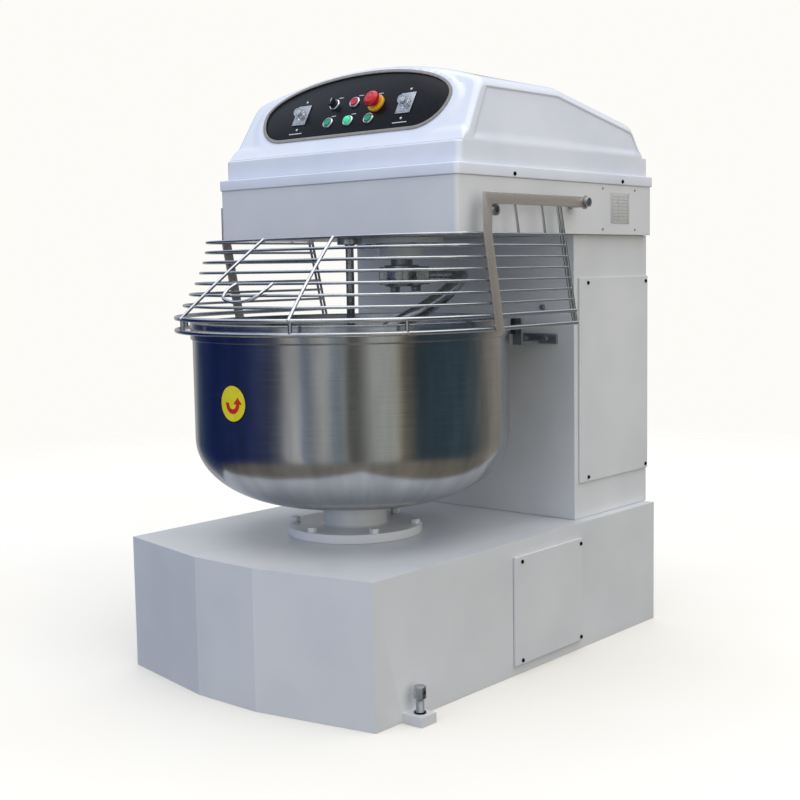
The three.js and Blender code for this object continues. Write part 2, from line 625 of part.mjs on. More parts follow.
// ---- Spindle, hook and post ----
// Point of the hook's centre line at t: out of the clamp, round an elbow, then down a helix
// that is steep at the top and closes in over the bowl's floor.
function hookPoint(t) {
  const drop = HOOK.top - HOOK.end;
  const run = Math.max(0, (t - HOOK.lead) / (1 - HOOK.lead));
  const fall = run < HOOK.elbow ? (run * run) / (2 * HOOK.elbow) : run - HOOK.elbow / 2;
  const whole = 1 - HOOK.elbow / 2;
  const share = fall / whole;
  const z = HOOK.top - drop * share * (1 + HOOK.steep * (1 - share));
  const angle = THREE.MathUtils.degToRad(HOOK.facing - 360 * HOOK.turns * run);
  const clearance = bowlRadius(z - HOOK.bar) - (HOOK.y - BOWL.y) - HOOK.bar - HOOK.clear;
  const outer = Math.min(HOOK.r, clearance);
  const swing = Math.min(1, t / (HOOK.lead + HOOK.elbow / 2));
  const radius = Math.min(outer, HOOK.start + (HOOK.r - HOOK.start) * Math.sin((swing * Math.PI) / 2));
  return new THREE.Vector3(radius * Math.cos(angle), HOOK.y + radius * Math.sin(angle), z);
}

function makeSpindle() {
  const { r: bore, barrel, flange, low, high, race, step, shaftHigh } = SEAT;
  const under = COLUMN.top;
  const housing = turned([
    [bore, low], [barrel, low], [barrel, under - 14], [flange, under - 14], [flange, under],
    [barrel, under], [barrel, high], [bore, high], [bore, low],
  ], 0, HOOK.y, 24);
  add('spindle_housing', housing, PAINT);
  const bearing = (z) => ring(0, HOOK.y, SPINDLE_R + FIT, bore - FIT, z, z + race);
  add('spindle_bearing_lower', bearing(low + step), STEEL);
  add('spindle_bearing_upper', bearing(high - step - race), STEEL);
  add('spindle_shaft', disc(0, HOOK.y, SPINDLE_R, CLAMP.high + GAP, shaftHigh), STEEL);

  const { z, big, small, y } = BELT_HIGH;
  const lines = [z - 11, z + 11];
  add('spindle_pulley', pulley(0, HOOK.y, big, SPINDLE_R + FIT, z - 22, z + 22, lines, 20), IRON);
  const driver = join(
    pulley(0, y, small, 0, z - 22, z + 22, lines, 16),
    disc(0, y, 19, MOTOR.plate + GAP, z - 21, 12),
  );
  add('main_motor_pulley', driver, IRON);
  lines.forEach((level, i) => {
    add(`spindle_belt_${i + 1}`, belt(HOOK.y, big - GROOVE, y, small - GROOVE, level - 5, level + 5), RUBBER);
  });

  const turnBy = (shape) => shape.rotate([0, 0, HOOK.facing]).translate([0, HOOK.y, 0]);
  const clamp = turnBy(join(
    disc(0, 0, CLAMP.r, CLAMP.low, CLAMP.high, 32),
    box(CLAMP.inner, CLAMP.outer, -CLAMP.half, CLAMP.half, CLAMP.low + 4, CLAMP.high - 4),
  ));
  add('hook_clamp', clamp, STAINLESS);

  const points = Array.from({ length: 81 }, (_, i) => hookPoint(i / 80));
  const curve = new THREE.CatmullRomCurve3(points);
  add('spiral_hook', bar(curve, HOOK.bar, 8, 46), STAINLESS);

  const post = turned([
    [0, POST.low], [POST.r - 3, POST.low], [POST.r, POST.low + 3], [POST.r, under - 18],
    [POST.foot, under - 16], [POST.foot, under], [0, under],
  ], 0, BOWL.y, 20);
  add('breaker_bar', post, STAINLESS);
}

// ---- Guard ----
// A hoop's front is half an ellipse: shallow at the top and half-round over the bowl rim.
function hoopFrontShape(z) {
  const share = THREE.MathUtils.clamp((GUARD.top - z) / (GUARD.top - GUARD.ringTop), 0, 1);
  return {
    legY: THREE.MathUtils.lerp(GUARD.legTop, BOWL.y, share),
    depth: THREE.MathUtils.lerp(GUARD.depthTop, GUARD.leg, share),
  };
}

// Y of a hoop's front at a distance x from the middle.
function hoopFront(x, z) {
  const { legY, depth } = hoopFrontShape(z);
  return legY - depth * Math.sqrt(1 - (x / GUARD.leg) ** 2);
}

// Hoop: two straight legs and the front between them.
function hoop(z, radius) {
  const { legY, depth } = hoopFrontShape(z);
  const down = (GUARD.top - z) / (GUARD.top - GUARD.bottom);
  const endY = THREE.MathUtils.lerp(GUARD.endTop, GUARD.endBottom, down);
  const chain = [new THREE.Vector3(GUARD.leg, endY, z)];
  const arc = 14;
  for (let i = 0; i <= arc; i += 1) {
    const angle = (Math.PI * i) / arc;
    chain.push(new THREE.Vector3(GUARD.leg * Math.cos(angle), legY - depth * Math.sin(angle), z));
  }
  chain.push(new THREE.Vector3(-GUARD.leg, endY, z));
  return polyBar(chain, radius);
}

// Bar of square section along a level chain of points, mitred at each point.
function polyBar(chain, radius) {
  const sides = 4;
  const positions = [];
  chain.forEach((point, i) => {
    const before = chain[Math.max(0, i - 1)];
    const after = chain[Math.min(chain.length - 1, i + 1)];
    const along = after.clone().sub(before).normalize();
    const side = new THREE.Vector3(along.y, -along.x, 0);
    for (let k = 0; k < sides; k += 1) {
      const angle = (2 * Math.PI * (k + 0.5)) / sides;
      positions.push(
        point.x + side.x * radius * Math.cos(angle),
        point.y + side.y * radius * Math.cos(angle),
        point.z + radius * Math.sin(angle),
      );
    }
  });
  const index = [];
  for (let i = 0; i + 1 < chain.length; i += 1) {
    for (let k = 0; k < sides; k += 1) {
      const a = i * sides + k;
      const b = i * sides + ((k + 1) % sides);
      index.push(a, b, a + sides, b, b + sides, a + sides);
    }
  }
  const last = (chain.length - 1) * sides;
  for (let k = 1; k + 1 < sides; k += 1) {
    index.push(0, k + 1, k, last, last + k, last + k + 1);
  }
  const geometry = new THREE.BufferGeometry();
  geometry.setAttribute('position', new THREE.Float32BufferAttribute(positions, 3));
  geometry.setIndex(index);
  return solid(geometry);
}

function makeGuard() {
  const { leg, wire, ring: thick, top, bottom, ringTop, step, endTop, endBottom } = GUARD;
  const wires = [];
  for (let i = 0; i < 7; i += 1) wires.push(hoop(top - i * step, wire));
  wires.push(hoop(ringTop, thick), hoop(bottom, thick));
  const { rodTop, rodLow, stubX, rod } = GUARD;
  const barLow = GUARD.barLow - GAP;
  for (const side of [-1, 1]) {
    // Rod welded to the front of every hoop, leaning outwards as it goes down.
    const line = Array.from({ length: 8 }, (_, i) => {
      const z = THREE.MathUtils.lerp(top, ringTop, i / 7);
      const x = THREE.MathUtils.lerp(rodTop, rodLow, i / 7);
      return new THREE.Vector3(side * x, hoopFront(x, z) - wire, z);
    });
    wires.push(bar(new THREE.CatmullRomCurve3(line), rod, 4, 7));
    for (const x of [rodLow, stubX]) {
      const y = hoopFront(x, ringTop);
      wires.push(straight([side * x, y, ringTop], [side * x, y, bottom], 5));
    }
    const slope = (endBottom - endTop) / (top - bottom);
    for (const y of [endTop - 2, endTop - 15]) {
      const rise = (barLow - top) * slope;
      wires.push(straight([side * leg, y - rise, barLow], [side * leg, y + endBottom - endTop, bottom], 3.5));
    }
    for (const y of [-62, 45]) {
      wires.push(straight([side * leg, y - 16, barLow], [side * leg, y, top], 3));
    }
  }
  add('guard_cage', join(...wires), STAINLESS);

  // Lifting handle: a loop of rod that hangs in front of the middle hoops.
  const handleZ = top - 4 * step;
  const { half, reach, drop } = HANDLE;
  const hold = hoopFront(half, handleZ) - wire - rod - GAP;
  const loopPoints = [
    [-half, 0, 0], [-half - 2, -reach + 32, -drop + 26], [-half + 12, -reach + 8, -drop + 8],
    [0, -reach, -drop],
    [half - 12, -reach + 8, -drop + 8], [half + 2, -reach + 32, -drop + 26], [half, 0, 0],
  ].map(([x, y, z]) => new THREE.Vector3(x, hold + y, handleZ + z));
  add('guard_handle', bar(new THREE.CatmullRomCurve3(loopPoints), rod, 6, 18), STAINLESS);

  for (const [side, label] of [[-1, 'left'], [1, 'right']]) {
    const mirror = (shape) => (side > 0 ? shape : shape.mirror([1, 0, 0]));
    const x0 = leg + thick + GAP;
    const x1 = x0 + GUARD.barThick;
    const profile = (points) => {
      const shape = new THREE.Shape(points.map(([y, z]) => new THREE.Vector2(y, z)));
      const geometry = new THREE.ExtrudeGeometry(shape, { depth: x1 - x0, bevelEnabled: false });
      geometry.rotateX(Math.PI / 2);
      geometry.rotateZ(Math.PI / 2);
      return solid(geometry.translate(x0, 0, 0));
    };
    const { barLow: lower, barHigh: upper, eye, pin, washer, stopY, pivotY, pivotZ } = GUARD;
    const frame = cut(
      join(
        profile([[-206, upper], [-206, 1044], [-162, 828], [-134, 828], [-178, 1050], [-178, lower],
          [pivotY - eye, lower], [pivotY - eye, upper]]),
        crossRod(x0, x1, pivotY, pivotZ, eye, 24),
        box(x0, x1, pivotY - eye - 5, pivotY + 1, lower, upper),
        box(HEAD.w + 12, x0 + 1, stopY - 15, stopY + 15, lower, lower + 8),
      ),
      crossRod(x0 - 5, x1 + 5, pivotY, pivotZ, pin + 0.4, 20),
    );
    add(`guard_side_bar_${label}`, mirror(frame), STAINLESS);
    const pivot = join(
      crossRod(HEAD.w + GAP, x0 - 1, pivotY, pivotZ, washer),
      crossRod(HEAD.w + 2, x1 + 2, pivotY, pivotZ, pin),
      crossRod(x1 + 1, x1 + 12, pivotY, pivotZ, washer - 1.5),
    );
    const socket = crossRod(x1 + 5, x1 + 14, pivotY, pivotZ, 5, 6);
    add(`guard_pivot_${label}`, mirror(cut(pivot, socket)), STAINLESS);
    const restZ = lower - GAP - washer;
    const stop = cut(
      crossRod(HEAD.w + GAP, HEAD.w + 26, stopY, restZ, washer),
      crossRod(HEAD.w + 18, HEAD.w + 30, stopY, restZ, pin, 6),
    );
    add(`guard_stop_${label}`, mirror(stop), STAINLESS);
  }
}

makeBase();
makeBowlDrive();
makeColumn();
makeHead();
makeHood();
makePanel();
makeSpindle();
makeGuard();

export default mixer;
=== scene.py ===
"""Looks of a spiral dough mixer: enamelled steel, moulded hood, spun bowl and wire guard."""
import json
import math
import bpy
from mathutils import Matrix, Vector


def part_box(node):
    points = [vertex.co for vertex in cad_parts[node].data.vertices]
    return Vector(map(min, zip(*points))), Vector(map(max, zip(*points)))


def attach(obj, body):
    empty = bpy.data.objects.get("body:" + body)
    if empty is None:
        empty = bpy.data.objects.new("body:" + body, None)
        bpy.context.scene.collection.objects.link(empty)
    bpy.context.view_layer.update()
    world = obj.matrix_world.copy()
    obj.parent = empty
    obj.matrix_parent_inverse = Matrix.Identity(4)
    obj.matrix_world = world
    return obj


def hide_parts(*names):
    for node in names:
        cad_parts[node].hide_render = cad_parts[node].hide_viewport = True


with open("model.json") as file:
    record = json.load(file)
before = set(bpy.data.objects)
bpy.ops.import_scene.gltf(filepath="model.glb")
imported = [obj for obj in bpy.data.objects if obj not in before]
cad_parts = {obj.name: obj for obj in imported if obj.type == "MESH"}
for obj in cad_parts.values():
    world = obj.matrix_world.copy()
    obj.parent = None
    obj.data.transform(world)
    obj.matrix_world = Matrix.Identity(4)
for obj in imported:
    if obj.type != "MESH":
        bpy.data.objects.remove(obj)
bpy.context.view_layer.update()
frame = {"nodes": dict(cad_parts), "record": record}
scene = bpy.context.scene

MM = 0.001
FRONT, RIGHT = Vector((0, -1, 0)), Vector((1, 0, 0))

# ---- Where the CAD pieces are, in millimetres ----


def low_high(node):
    """Lowest and highest corner of a CAD node in millimetres."""
    low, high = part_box(node)
    return low / MM, high / MM


def middle(node):
    low, high = low_high(node)
    return (low + high) / 2


BOWL_AXIS = middle("bowl")
SPINDLE_AXIS = middle("spindle_shaft")
BOWL_LOW, BOWL_HIGH = low_high("bowl")
COLUMN_LOW = low_high("column_housing")[0]
BASE_HIGH, HEAD_HIGH, HOOD_HIGH = (low_high(node)[1] for node in ("base_housing", "head_housing", "hood"))

# ---- Materials ----


def linear(code):
    """Linear colour of an sRGB hex code."""
    parts = [int(code[i:i + 2], 16) / 255 for i in (1, 3, 5)]
    return [c / 12.92 if c <= 0.04045 else ((c + 0.055) / 1.055) ** 2.4 for c in parts] + [1.0]


def add_node(tree, kind, settings=None, **inputs):
    """Adds a node, sets its properties, and sets or links its inputs."""
    node = tree.nodes.new(kind)
    for key, value in (settings or {}).items():
        setattr(node, key, value)
    for key, value in inputs.items():
        index = int(key[1:]) if key[0] == "i" and key[1:].isdigit() else key.replace("_", " ")
        socket = node.inputs[index]
        if isinstance(value, bpy.types.NodeSocket):
            tree.links.new(value, socket)
        else:
            socket.default_value = value
    return node


def new_material(name, **sockets):
    """A material with one Principled shader; its tree, shader and Object coordinates in millimetres."""
    material = bpy.data.materials.new(name)
    material.use_nodes = True
    tree = material.node_tree
    shader = tree.nodes["Principled BSDF"]
    for key, value in sockets.items():
        shader.inputs[key.replace("_", " ")].default_value = value
    coords = add_node(tree, "ShaderNodeTexCoord").outputs["Object"]
    scaled = add_node(tree, "ShaderNodeVectorMath", {"operation": "SCALE"}, Vector=coords, Scale=1 / MM)
    return material, tree, shader, scaled.outputs[0]


def speckle(tree, coords, size, stretch=(1, 1, 1), detail=2.0):
    """Noise whose grains are size millimetres across, drawn out by stretch."""
    mapped = add_node(tree, "ShaderNodeMapping", Vector=coords, Scale=[1 / (size * s) for s in stretch])
    noise = add_node(tree, "ShaderNodeTexNoise", Vector=mapped.outputs[0], Scale=1.0, Detail=detail)
    return noise.outputs["Fac"]


def between(tree, factor, low, high):
    """Number that runs from low to high as the noise does."""
    return add_node(tree, "ShaderNodeMapRange", i0=factor, i1=0.3, i2=0.7, i3=low, i4=high).outputs[0]


def shade(tree, factor, dark, light):
    """Colour between two hex codes."""
    mix = add_node(tree, "ShaderNodeMix", {"data_type": "RGBA"}, i0=between(tree, factor, 0.0, 1.0),
                   i6=linear(dark), i7=linear(light))
    return mix.outputs[2]


def bump(tree, shader, height, depth, strength=1.0):
    """Surface relief of depth millimetres."""
    node = add_node(tree, "ShaderNodeBump", Height=height, Distance=depth * MM, Strength=strength)
    tree.links.new(node.outputs[0], shader.inputs["Normal"])


def enamel():
    """Sprayed and baked enamel on sheet steel: satin white with a faint orange peel."""
    material, tree, shader, mm = new_material("sprayed_enamel", Roughness=0.34, Coat_Weight=0.25,
                                              Coat_Roughness=0.2)
    tree.links.new(shade(tree, speckle(tree, mm, 180), "#d6d8da", "#dee0e1"), shader.inputs["Base Color"])
    tree.links.new(between(tree, speckle(tree, mm, 60), 0.3, 0.4), shader.inputs["Roughness"])
    bump(tree, shader, speckle(tree, mm, 2.2, detail=3.0), 0.05, 0.5)
    return material


def gelcoat():
    """Gelcoat on moulded glass fibre: glossy bluish white, gently wavy."""
    material, tree, shader, mm = new_material("gelcoat", Roughness=0.12, Coat_Weight=0.6, Coat_Roughness=0.04)
    tree.links.new(shade(tree, speckle(tree, mm, 150), "#e3e8f4", "#ecf0f8"), shader.inputs["Base Color"])
    tree.links.new(between(tree, speckle(tree, mm, 40), 0.09, 0.17), shader.inputs["Roughness"])
    bump(tree, shader, speckle(tree, mm, 45, detail=1.0), 0.25, 0.4)
    return material


def spun_stainless():
    """Spun and polished stainless steel: fine lathe lines round the axis stretch every reflection upwards;
    tall streaks up the wall are painted reflections in the base colour.
    """
    material, tree, shader, mm = new_material("spun_stainless", Metallic=1.0, Roughness=0.2, Anisotropic=0.7,
                                              Anisotropic_Rotation=0.25)
    centre = add_node(tree, "ShaderNodeVectorMath", {"operation": "SUBTRACT"}, i0=mm,
                      i1=(BOWL_AXIS.x, BOWL_AXIS.y, 0)).outputs[0]
    x, y, z = add_node(tree, "ShaderNodeSeparateXYZ", Vector=centre).outputs
    angle = add_node(tree, "ShaderNodeMath", {"operation": "ARCTAN2"}, i0=y, i1=x).outputs[0]
    wall = (BOWL_HIGH.x - BOWL_LOW.x) / 2
    across = add_node(tree, "ShaderNodeMath", {"operation": "MULTIPLY"}, i0=angle, i1=wall).outputs[0]
    square = add_node(tree, "ShaderNodeMath", {"operation": "MULTIPLY"}, i0=y, i1=y).outputs[0]
    square = add_node(tree, "ShaderNodeMath", {"operation": "MULTIPLY_ADD"}, i0=x, i1=x, i2=square).outputs[0]
    radius = add_node(tree, "ShaderNodeMath", {"operation": "SQRT"}, i0=square).outputs[0]
    along = add_node(tree, "ShaderNodeMath", {"operation": "ADD"}, i0=z, i1=radius).outputs[0]
    skin = add_node(tree, "ShaderNodeCombineXYZ", i0=across, i1=along).outputs[0]
    lines = speckle(tree, skin, 2.5, stretch=(60, 0.6, 1), detail=4.0)
    # Painted reflection: tall soft streaks up the wall, drawn into the base colour to copy the upright
    # blurred reflections of the surroundings.
    painted_reflection_streaks = speckle(tree, skin, 90, stretch=(0.5, 3, 1))
    lathe_lines_and_painted_streaks = add_node(tree, "ShaderNodeMath", {"operation": "MULTIPLY_ADD"}, i0=lines, i1=0.4,
                    i2=between(tree, painted_reflection_streaks, 0.1, 0.5))
    tree.links.new(shade(tree, lathe_lines_and_painted_streaks.outputs[0], "#a9abae", "#c6c8cb"), shader.inputs["Base Color"])
    tree.links.new(between(tree, lines, 0.15, 0.24), shader.inputs["Roughness"])
    bump(tree, shader, lines, 0.01, 0.12)
    tangent = add_node(tree, "ShaderNodeTangent", {"direction_type": "RADIAL", "axis": "Z"})
    tree.links.new(tangent.outputs[0], shader.inputs["Tangent"])
    return material


def brushed_stainless():
    """Brushed stainless flat bar: a fine short grain, reflections almost spread out."""
    material, tree, shader, mm = new_material("brushed_flat_bar", Metallic=0.72, Roughness=0.42)
    grain = speckle(tree, mm, 1.0, stretch=(1, 14, 1), detail=3.0)
    tree.links.new(shade(tree, grain, "#c8beb4", "#d8cfc6"), shader.inputs["Base Color"])
    tree.links.new(between(tree, grain, 0.38, 0.48), shader.inputs["Roughness"])
    bump(tree, shader, grain, 0.01, 0.2)
    return material


def polished_wire():
    """Drawn and electropolished stainless wire: bright, with soft draw marks."""
    material, tree, shader, mm = new_material("polished_wire", Metallic=1.0, Roughness=0.14)
    marks = speckle(tree, mm, 3.0)
    tree.links.new(shade(tree, marks, "#c4c7ca", "#dcdee0"), shader.inputs["Base Color"])
    tree.links.new(between(tree, marks, 0.1, 0.2), shader.inputs["Roughness"])
    return material


def forged_stainless():
    """Forged stainless, ground and polished by hand: bright with slow waves and fine scratches."""
    material, tree, shader, mm = new_material("ground_stainless", Metallic=1.0, Roughness=0.24)
    waves = speckle(tree, mm, 14.0)
    tree.links.new(shade(tree, waves, "#a5a6a8", "#c2c3c5"), shader.inputs["Base Color"])
    scratches = speckle(tree, mm, 1.5, stretch=(1, 1, 4))
    tree.links.new(between(tree, scratches, 0.18, 0.32), shader.inputs["Roughness"])
    bump(tree, shader, waves, 0.12, 0.4)
    return material


def metal(name, dark, light, rough, grain=1.5, relief=0.02):
    """Plain turned or plated metal with a fine grain."""
    material, tree, shader, mm = new_material(name, Metallic=1.0)
    noise = speckle(tree, mm, grain)
    tree.links.new(shade(tree, noise, dark, light), shader.inputs["Base Color"])
    tree.links.new(between(tree, noise, rough * 0.8, rough * 1.2), shader.inputs["Roughness"])
    bump(tree, shader, noise, relief, 0.4)
    return material


def moulded(name, dark, light, rough, grain=0.8, relief=0.02, **sockets):
    """Moulded plastic, rubber or paint with a fine skin texture."""
    material, tree, shader, mm = new_material(name, **sockets)
    noise = speckle(tree, mm, grain)
    tree.links.new(shade(tree, speckle(tree, mm, grain * 12), dark, light), shader.inputs["Base Color"])
    tree.links.new(between(tree, noise, rough * 0.85, rough * 1.15), shader.inputs["Roughness"])
    bump(tree, shader, noise, relief, 0.4)
    return material


ENAMEL = enamel()
GELCOAT = gelcoat()
SPUN = spun_stainless()
BAR_STEEL = brushed_stainless()
WIRE = polished_wire()
FORGED = forged_stainless()
ZINC = metal("zinc_plated_steel", "#a8abaf", "#c3c6ca", 0.32)
CHROME = metal("chromed_brass", "#d4d6d9", "#e4e6e8", 0.08, grain=6.0, relief=0.0)
MACHINED = metal("machined_steel", "#8a8c90", "#a6a8ac", 0.3, grain=0.8)
ALUMINIUM = metal("satin_anodised_aluminium", "#b9bcc2", "#cbced4", 0.34, grain=0.5)
# Aluminium plate with a pale printed ground.
PRINTED = moulded("printed_plate", "#c6c7c5", "#d2d3d1", 0.4, grain=0.5, relief=0.005, Metallic=0.15)
BLACK_OXIDE = metal("black_oxide_steel", "#1d1e20", "#2c2d30", 0.45)
# Hammer finish on castings: slightly lumpy grey.
IRON = moulded("painted_cast_iron", "#4d5357", "#5d6368", 0.5, grain=3.0, relief=0.2)
MOTOR_PAINT = moulded("motor_paint", "#3b5670", "#456280", 0.42, grain=2.5, relief=0.12)
# V belts: fabric-faced rubber, dull.
RUBBER = moulded("belt_rubber", "#191919", "#222223", 0.85, grain=0.6, relief=0.08)
NYLON = moulded("black_nylon", "#26282b", "#303236", 0.55)
# Screen-printed polycarbonate laminate: satin black with a slight blue cast.
LAMINATE = moulded("black_laminate", "#0b0d12", "#12151b", 0.3, grain=1.0, Specular_IOR_Level=0.2)
EDGING = moulded("grey_edging", "#8c8781", "#9a958f", 0.4)
RED = moulded("red_abs", "#b80f1c", "#cf1d2a", 0.28, Coat_Weight=0.3)
GREEN = moulded("green_abs", "#0d8a63", "#189b72", 0.3, Coat_Weight=0.3)
YELLOW = moulded("yellow_abs", "#e8a81e", "#f4b830", 0.35)
BLACK_ABS = moulded("black_abs", "#141518", "#1d1f23", 0.35)
WHITE_INK = moulded("white_ink", "#cfd3d8", "#e3e6ea", 0.5, grain=0.4, relief=0.005)
GREY_INK = moulded("grey_ink", "#7d838b", "#8e949c", 0.5, grain=0.4, relief=0.005)
VINYL_YELLOW = moulded("yellow_vinyl", "#e6d624", "#efe13a", 0.3, grain=1.5, relief=0.01)
VINYL_RED = moulded("red_vinyl", "#c8261b", "#d63325", 0.3, grain=1.5, relief=0.01)
VINYL_BLACK = moulded("black_vinyl", "#15161a", "#1c1d22", 0.35, grain=1.5, relief=0.01)
# Moulded clear acrylic.
ACRYLIC = moulded("clear_acrylic", "#dfe7f0", "#eef3f8", 0.05, grain=8.0, relief=0.0,
                  Transmission_Weight=0.75, IOR=1.49)
# Green lamp lens, lit from inside.
LENS = moulded("green_lens", "#2fd79a", "#63eabc", 0.12, grain=3.0, Transmission_Weight=0.2,
               Emission_Strength=0.35, Emission_Color=linear("#3fe0a0"))

# ---- Modelling ----


def alone(*pieces):
    """Selects the pieces and nothing else; the first is the active one."""
    bpy.ops.object.select_all(action="DESELECT")
    for piece in pieces:
        piece.select_set(True)
    bpy.context.view_layer.objects.active = pieces[0]


def edit(obj):
    """Opens obj alone in edit mode with all of it selected."""
    alone(obj)
    bpy.ops.object.mode_set(mode="EDIT")
    bpy.ops.mesh.select_all(action="SELECT")


def close_edit():
    bpy.ops.object.mode_set(mode="OBJECT")
    return bpy.context.object


def named(name):
    obj = bpy.context.object
    obj.name = name
    obj.data.name = name
    return obj


def apply_modifier(obj, kind, **settings):
    alone(obj)
    modifier = obj.modifiers.new(kind.lower(), kind)
    for key, value in settings.items():
        setattr(modifier, key, value)
    bpy.ops.object.modifier_apply(modifier=modifier.name)
    return obj


def soften(obj, width, segments=2, angle=30):
    """Rounds every edge sharper than the angle by width millimetres."""
    return apply_modifier(obj, "BEVEL", width=width * MM, segments=segments, limit_method="ANGLE",
                          angle_limit=math.radians(angle), use_clamp_overlap=True)


def combined(obj, other, operation):
    """Joins other to obj or cuts it out of obj, and removes it."""
    apply_modifier(obj, "BOOLEAN", operation=operation, object=other)
    bpy.data.objects.remove(other)
    return obj


def tidy(obj):
    """Merges doubles and turns the faces outwards."""
    edit(obj)
    bpy.ops.mesh.remove_doubles(threshold=0.002 * MM)
    bpy.ops.mesh.normals_make_consistent(inside=False)
    return close_edit()


def moved(obj, matrix):
    """Applies a place, given in metres, to the mesh."""
    alone(obj)
    obj.matrix_world = matrix @ obj.matrix_world
    bpy.ops.object.transform_apply(location=True, rotation=True, scale=True)
    return obj


def shown(obj, material, body, *nodes, slot=None, angle=35):
    """Finishes a piece: smooth shading, material, the body it rides on and the CAD nodes it stands for."""
    alone(obj)
    bpy.ops.object.transform_apply(location=True, rotation=True, scale=True)
    bpy.ops.object.shade_smooth_by_angle(angle=math.radians(angle))
    obj.data.materials.clear()
    obj.data.materials.append(material)
    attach(obj, body)
    if nodes:
        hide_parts(*nodes)
    return obj


def joined(name, pieces):
    """Several solids of one kind as one piece."""
    alone(*pieces)
    if len(pieces) > 1:
        bpy.ops.object.join()
    return named(name)


def chain(name, points):
    """Edges through points in millimetres, one extrusion after another."""
    bpy.ops.object.select_all(action="DESELECT")
    start = Vector(points[0])
    bpy.ops.mesh.primitive_circle_add(vertices=3, radius=MM, location=(0, 0, 0))
    named(name)
    bpy.ops.object.mode_set(mode="EDIT")
    bpy.ops.mesh.select_all(action="SELECT")
    bpy.ops.mesh.merge(type="CENTER")
    bpy.ops.transform.translate(value=start * MM)
    for a, b in zip(points, points[1:]):
        step = (Vector(b) - Vector(a)) * MM
        bpy.ops.mesh.extrude_vertices_move(TRANSFORM_OT_translate={"value": step})
    return close_edit()


def turned(name, profile, centre=(0, 0), steps=96):
    """Round piece about an upright axis: a section of [radius, height] points spun once round."""
    obj = chain(name, [(centre[0] + r, centre[1], z) for r, z in profile])
    edit(obj)
    middle_m = (centre[0] * MM, centre[1] * MM, 0)
    bpy.ops.mesh.spin(steps=steps, angle=2 * math.pi, center=middle_m, axis=(0, 0, 1))
    close_edit()
    return tidy(obj)


def arc(centre, radius, start, end, steps=6):
    """Points [radius, height] of a round stretch between two angles in degrees."""
    angles = [math.radians(start + (end - start) * i / steps) for i in range(steps + 1)]
    return [(centre[0] + radius * math.cos(a), centre[1] + radius * math.sin(a)) for a in angles]


def wire(name, points, radius, sides=12, taper=0):
    """Round wire through points in millimetres; taper is how many points at its end round off."""
    alone(chain(name, points))
    bpy.ops.object.convert(target="CURVE")
    curve = bpy.context.object.data
    curve.bevel_depth = radius * MM
    curve.bevel_resolution = (sides - 4) // 2
    curve.use_fill_caps = True
    spline = curve.splines[0]
    ordered = list(range(len(spline.points)))
    if (spline.points[0].co.xyz - Vector(points[0]) * MM).length > MM:
        ordered.reverse()
    for i in range(taper):
        share = (i + 1) / taper
        spline.points[ordered[len(points) - taper + i]].radius = math.sqrt(max(0.02, 1 - share ** 2))
    bpy.ops.object.convert(target="MESH")
    return tidy(named(name))


def slab(name, outline, low, high):
    """Flat plate on a closed outline of points, extruded between two levels."""
    bpy.ops.object.select_all(action="DESELECT")
    bpy.ops.mesh.primitive_circle_add(vertices=len(outline), radius=1.0, fill_type="NGON", location=(0, 0, 0))
    obj = named(name)
    for vertex, (x, y) in zip(obj.data.vertices, outline):
        vertex.co = Vector((x, y, low)) * MM
    edit(obj)
    bpy.ops.mesh.extrude_region_move(TRANSFORM_OT_translate={"value": (0, 0, (high - low) * MM)})
    close_edit()
    return tidy(obj)


def brick(name, low, high):
    """Box between two corners in millimetres."""
    low, high = Vector(low), Vector(high)
    bpy.ops.object.select_all(action="DESELECT")
    bpy.ops.mesh.primitive_cube_add(size=1.0, location=(low + high) / 2 * MM)
    obj = named(name)
    obj.scale = (high - low) * MM
    bpy.ops.object.transform_apply(location=True, rotation=True, scale=True)
    return obj


def facing(point, direction):
    """Matrix whose Z points along direction at a point in millimetres."""
    turn = Vector(direction).to_track_quat("Z", "Y").to_matrix().to_4x4()
    return Matrix.Translation(Vector(point) * MM) @ turn


def cad_copy(name, *nodes):
    """Merged copy of CAD nodes, its flat faces whole again."""
    pieces = []
    for node in nodes:
        alone(frame["nodes"][node])
        bpy.ops.object.duplicate(linked=False)
        piece = bpy.context.object
        piece.parent = None
        for key in list(piece.keys()):
            del piece[key]
        pieces.append(piece)
    obj = joined(name, pieces)
    edit(obj)
    bpy.ops.mesh.remove_doubles(threshold=0.02 * MM)
    bpy.ops.mesh.dissolve_limited(angle_limit=math.radians(1.0))
    return close_edit()


def hex_bolt(name, across, height, washer=0):
    """Hexagon head standing on Z 0, with a low dome and an optional washer."""
    bpy.ops.object.select_all(action="DESELECT")
    base = 2.5 if washer else 0
    bpy.ops.mesh.primitive_cylinder_add(vertices=6, radius=across / math.sqrt(3) * MM, depth=height * MM,
                                        location=(0, 0, (base + height / 2) * MM))
    head = named(name)
    edit(head)
    bpy.ops.mesh.select_all(action="DESELECT")
    close_edit()
    for face in head.data.polygons:
        face.select = face.normal.z > 0.9
    bpy.ops.object.mode_set(mode="EDIT")
    bpy.ops.mesh.inset(thickness=across * 0.07 * MM)
    bpy.ops.transform.translate(value=(0, 0, across * 0.045 * MM))
    close_edit()
    soften(head, 0.5)
    if not washer:
        return head
    plate = turned(name + "_washer", [(0, 0), (washer, 0), (washer, 2.5), (0, 2.5)], steps=32)
    soften(plate, 0.5)
    return joined(name, [head, plate])


def socket_screw(name, radius, height, recess=0.45):
    """Button-head screw standing on Z 0 with a sunk socket."""
    socket = radius * recess
    profile = [(0, 0), (radius, 0), (radius, height * 0.45), (radius * 0.8, height), (socket, height),
               (socket, height * 0.3), (0, height * 0.3)]
    return soften(turned(name, profile, steps=24), radius * 0.08)


# ---- Sheet steel housings ----

ROOT = "machine_frame"


def housing(node, width):
    """A CAD sheet piece with its folded edges rounded by width millimetres."""
    sheet = soften(cad_copy(f"{node}_sheet", node), width, segments=3)
    shown(sheet, ENAMEL, ROOT, node, slot=slot_of(node), angle=12)


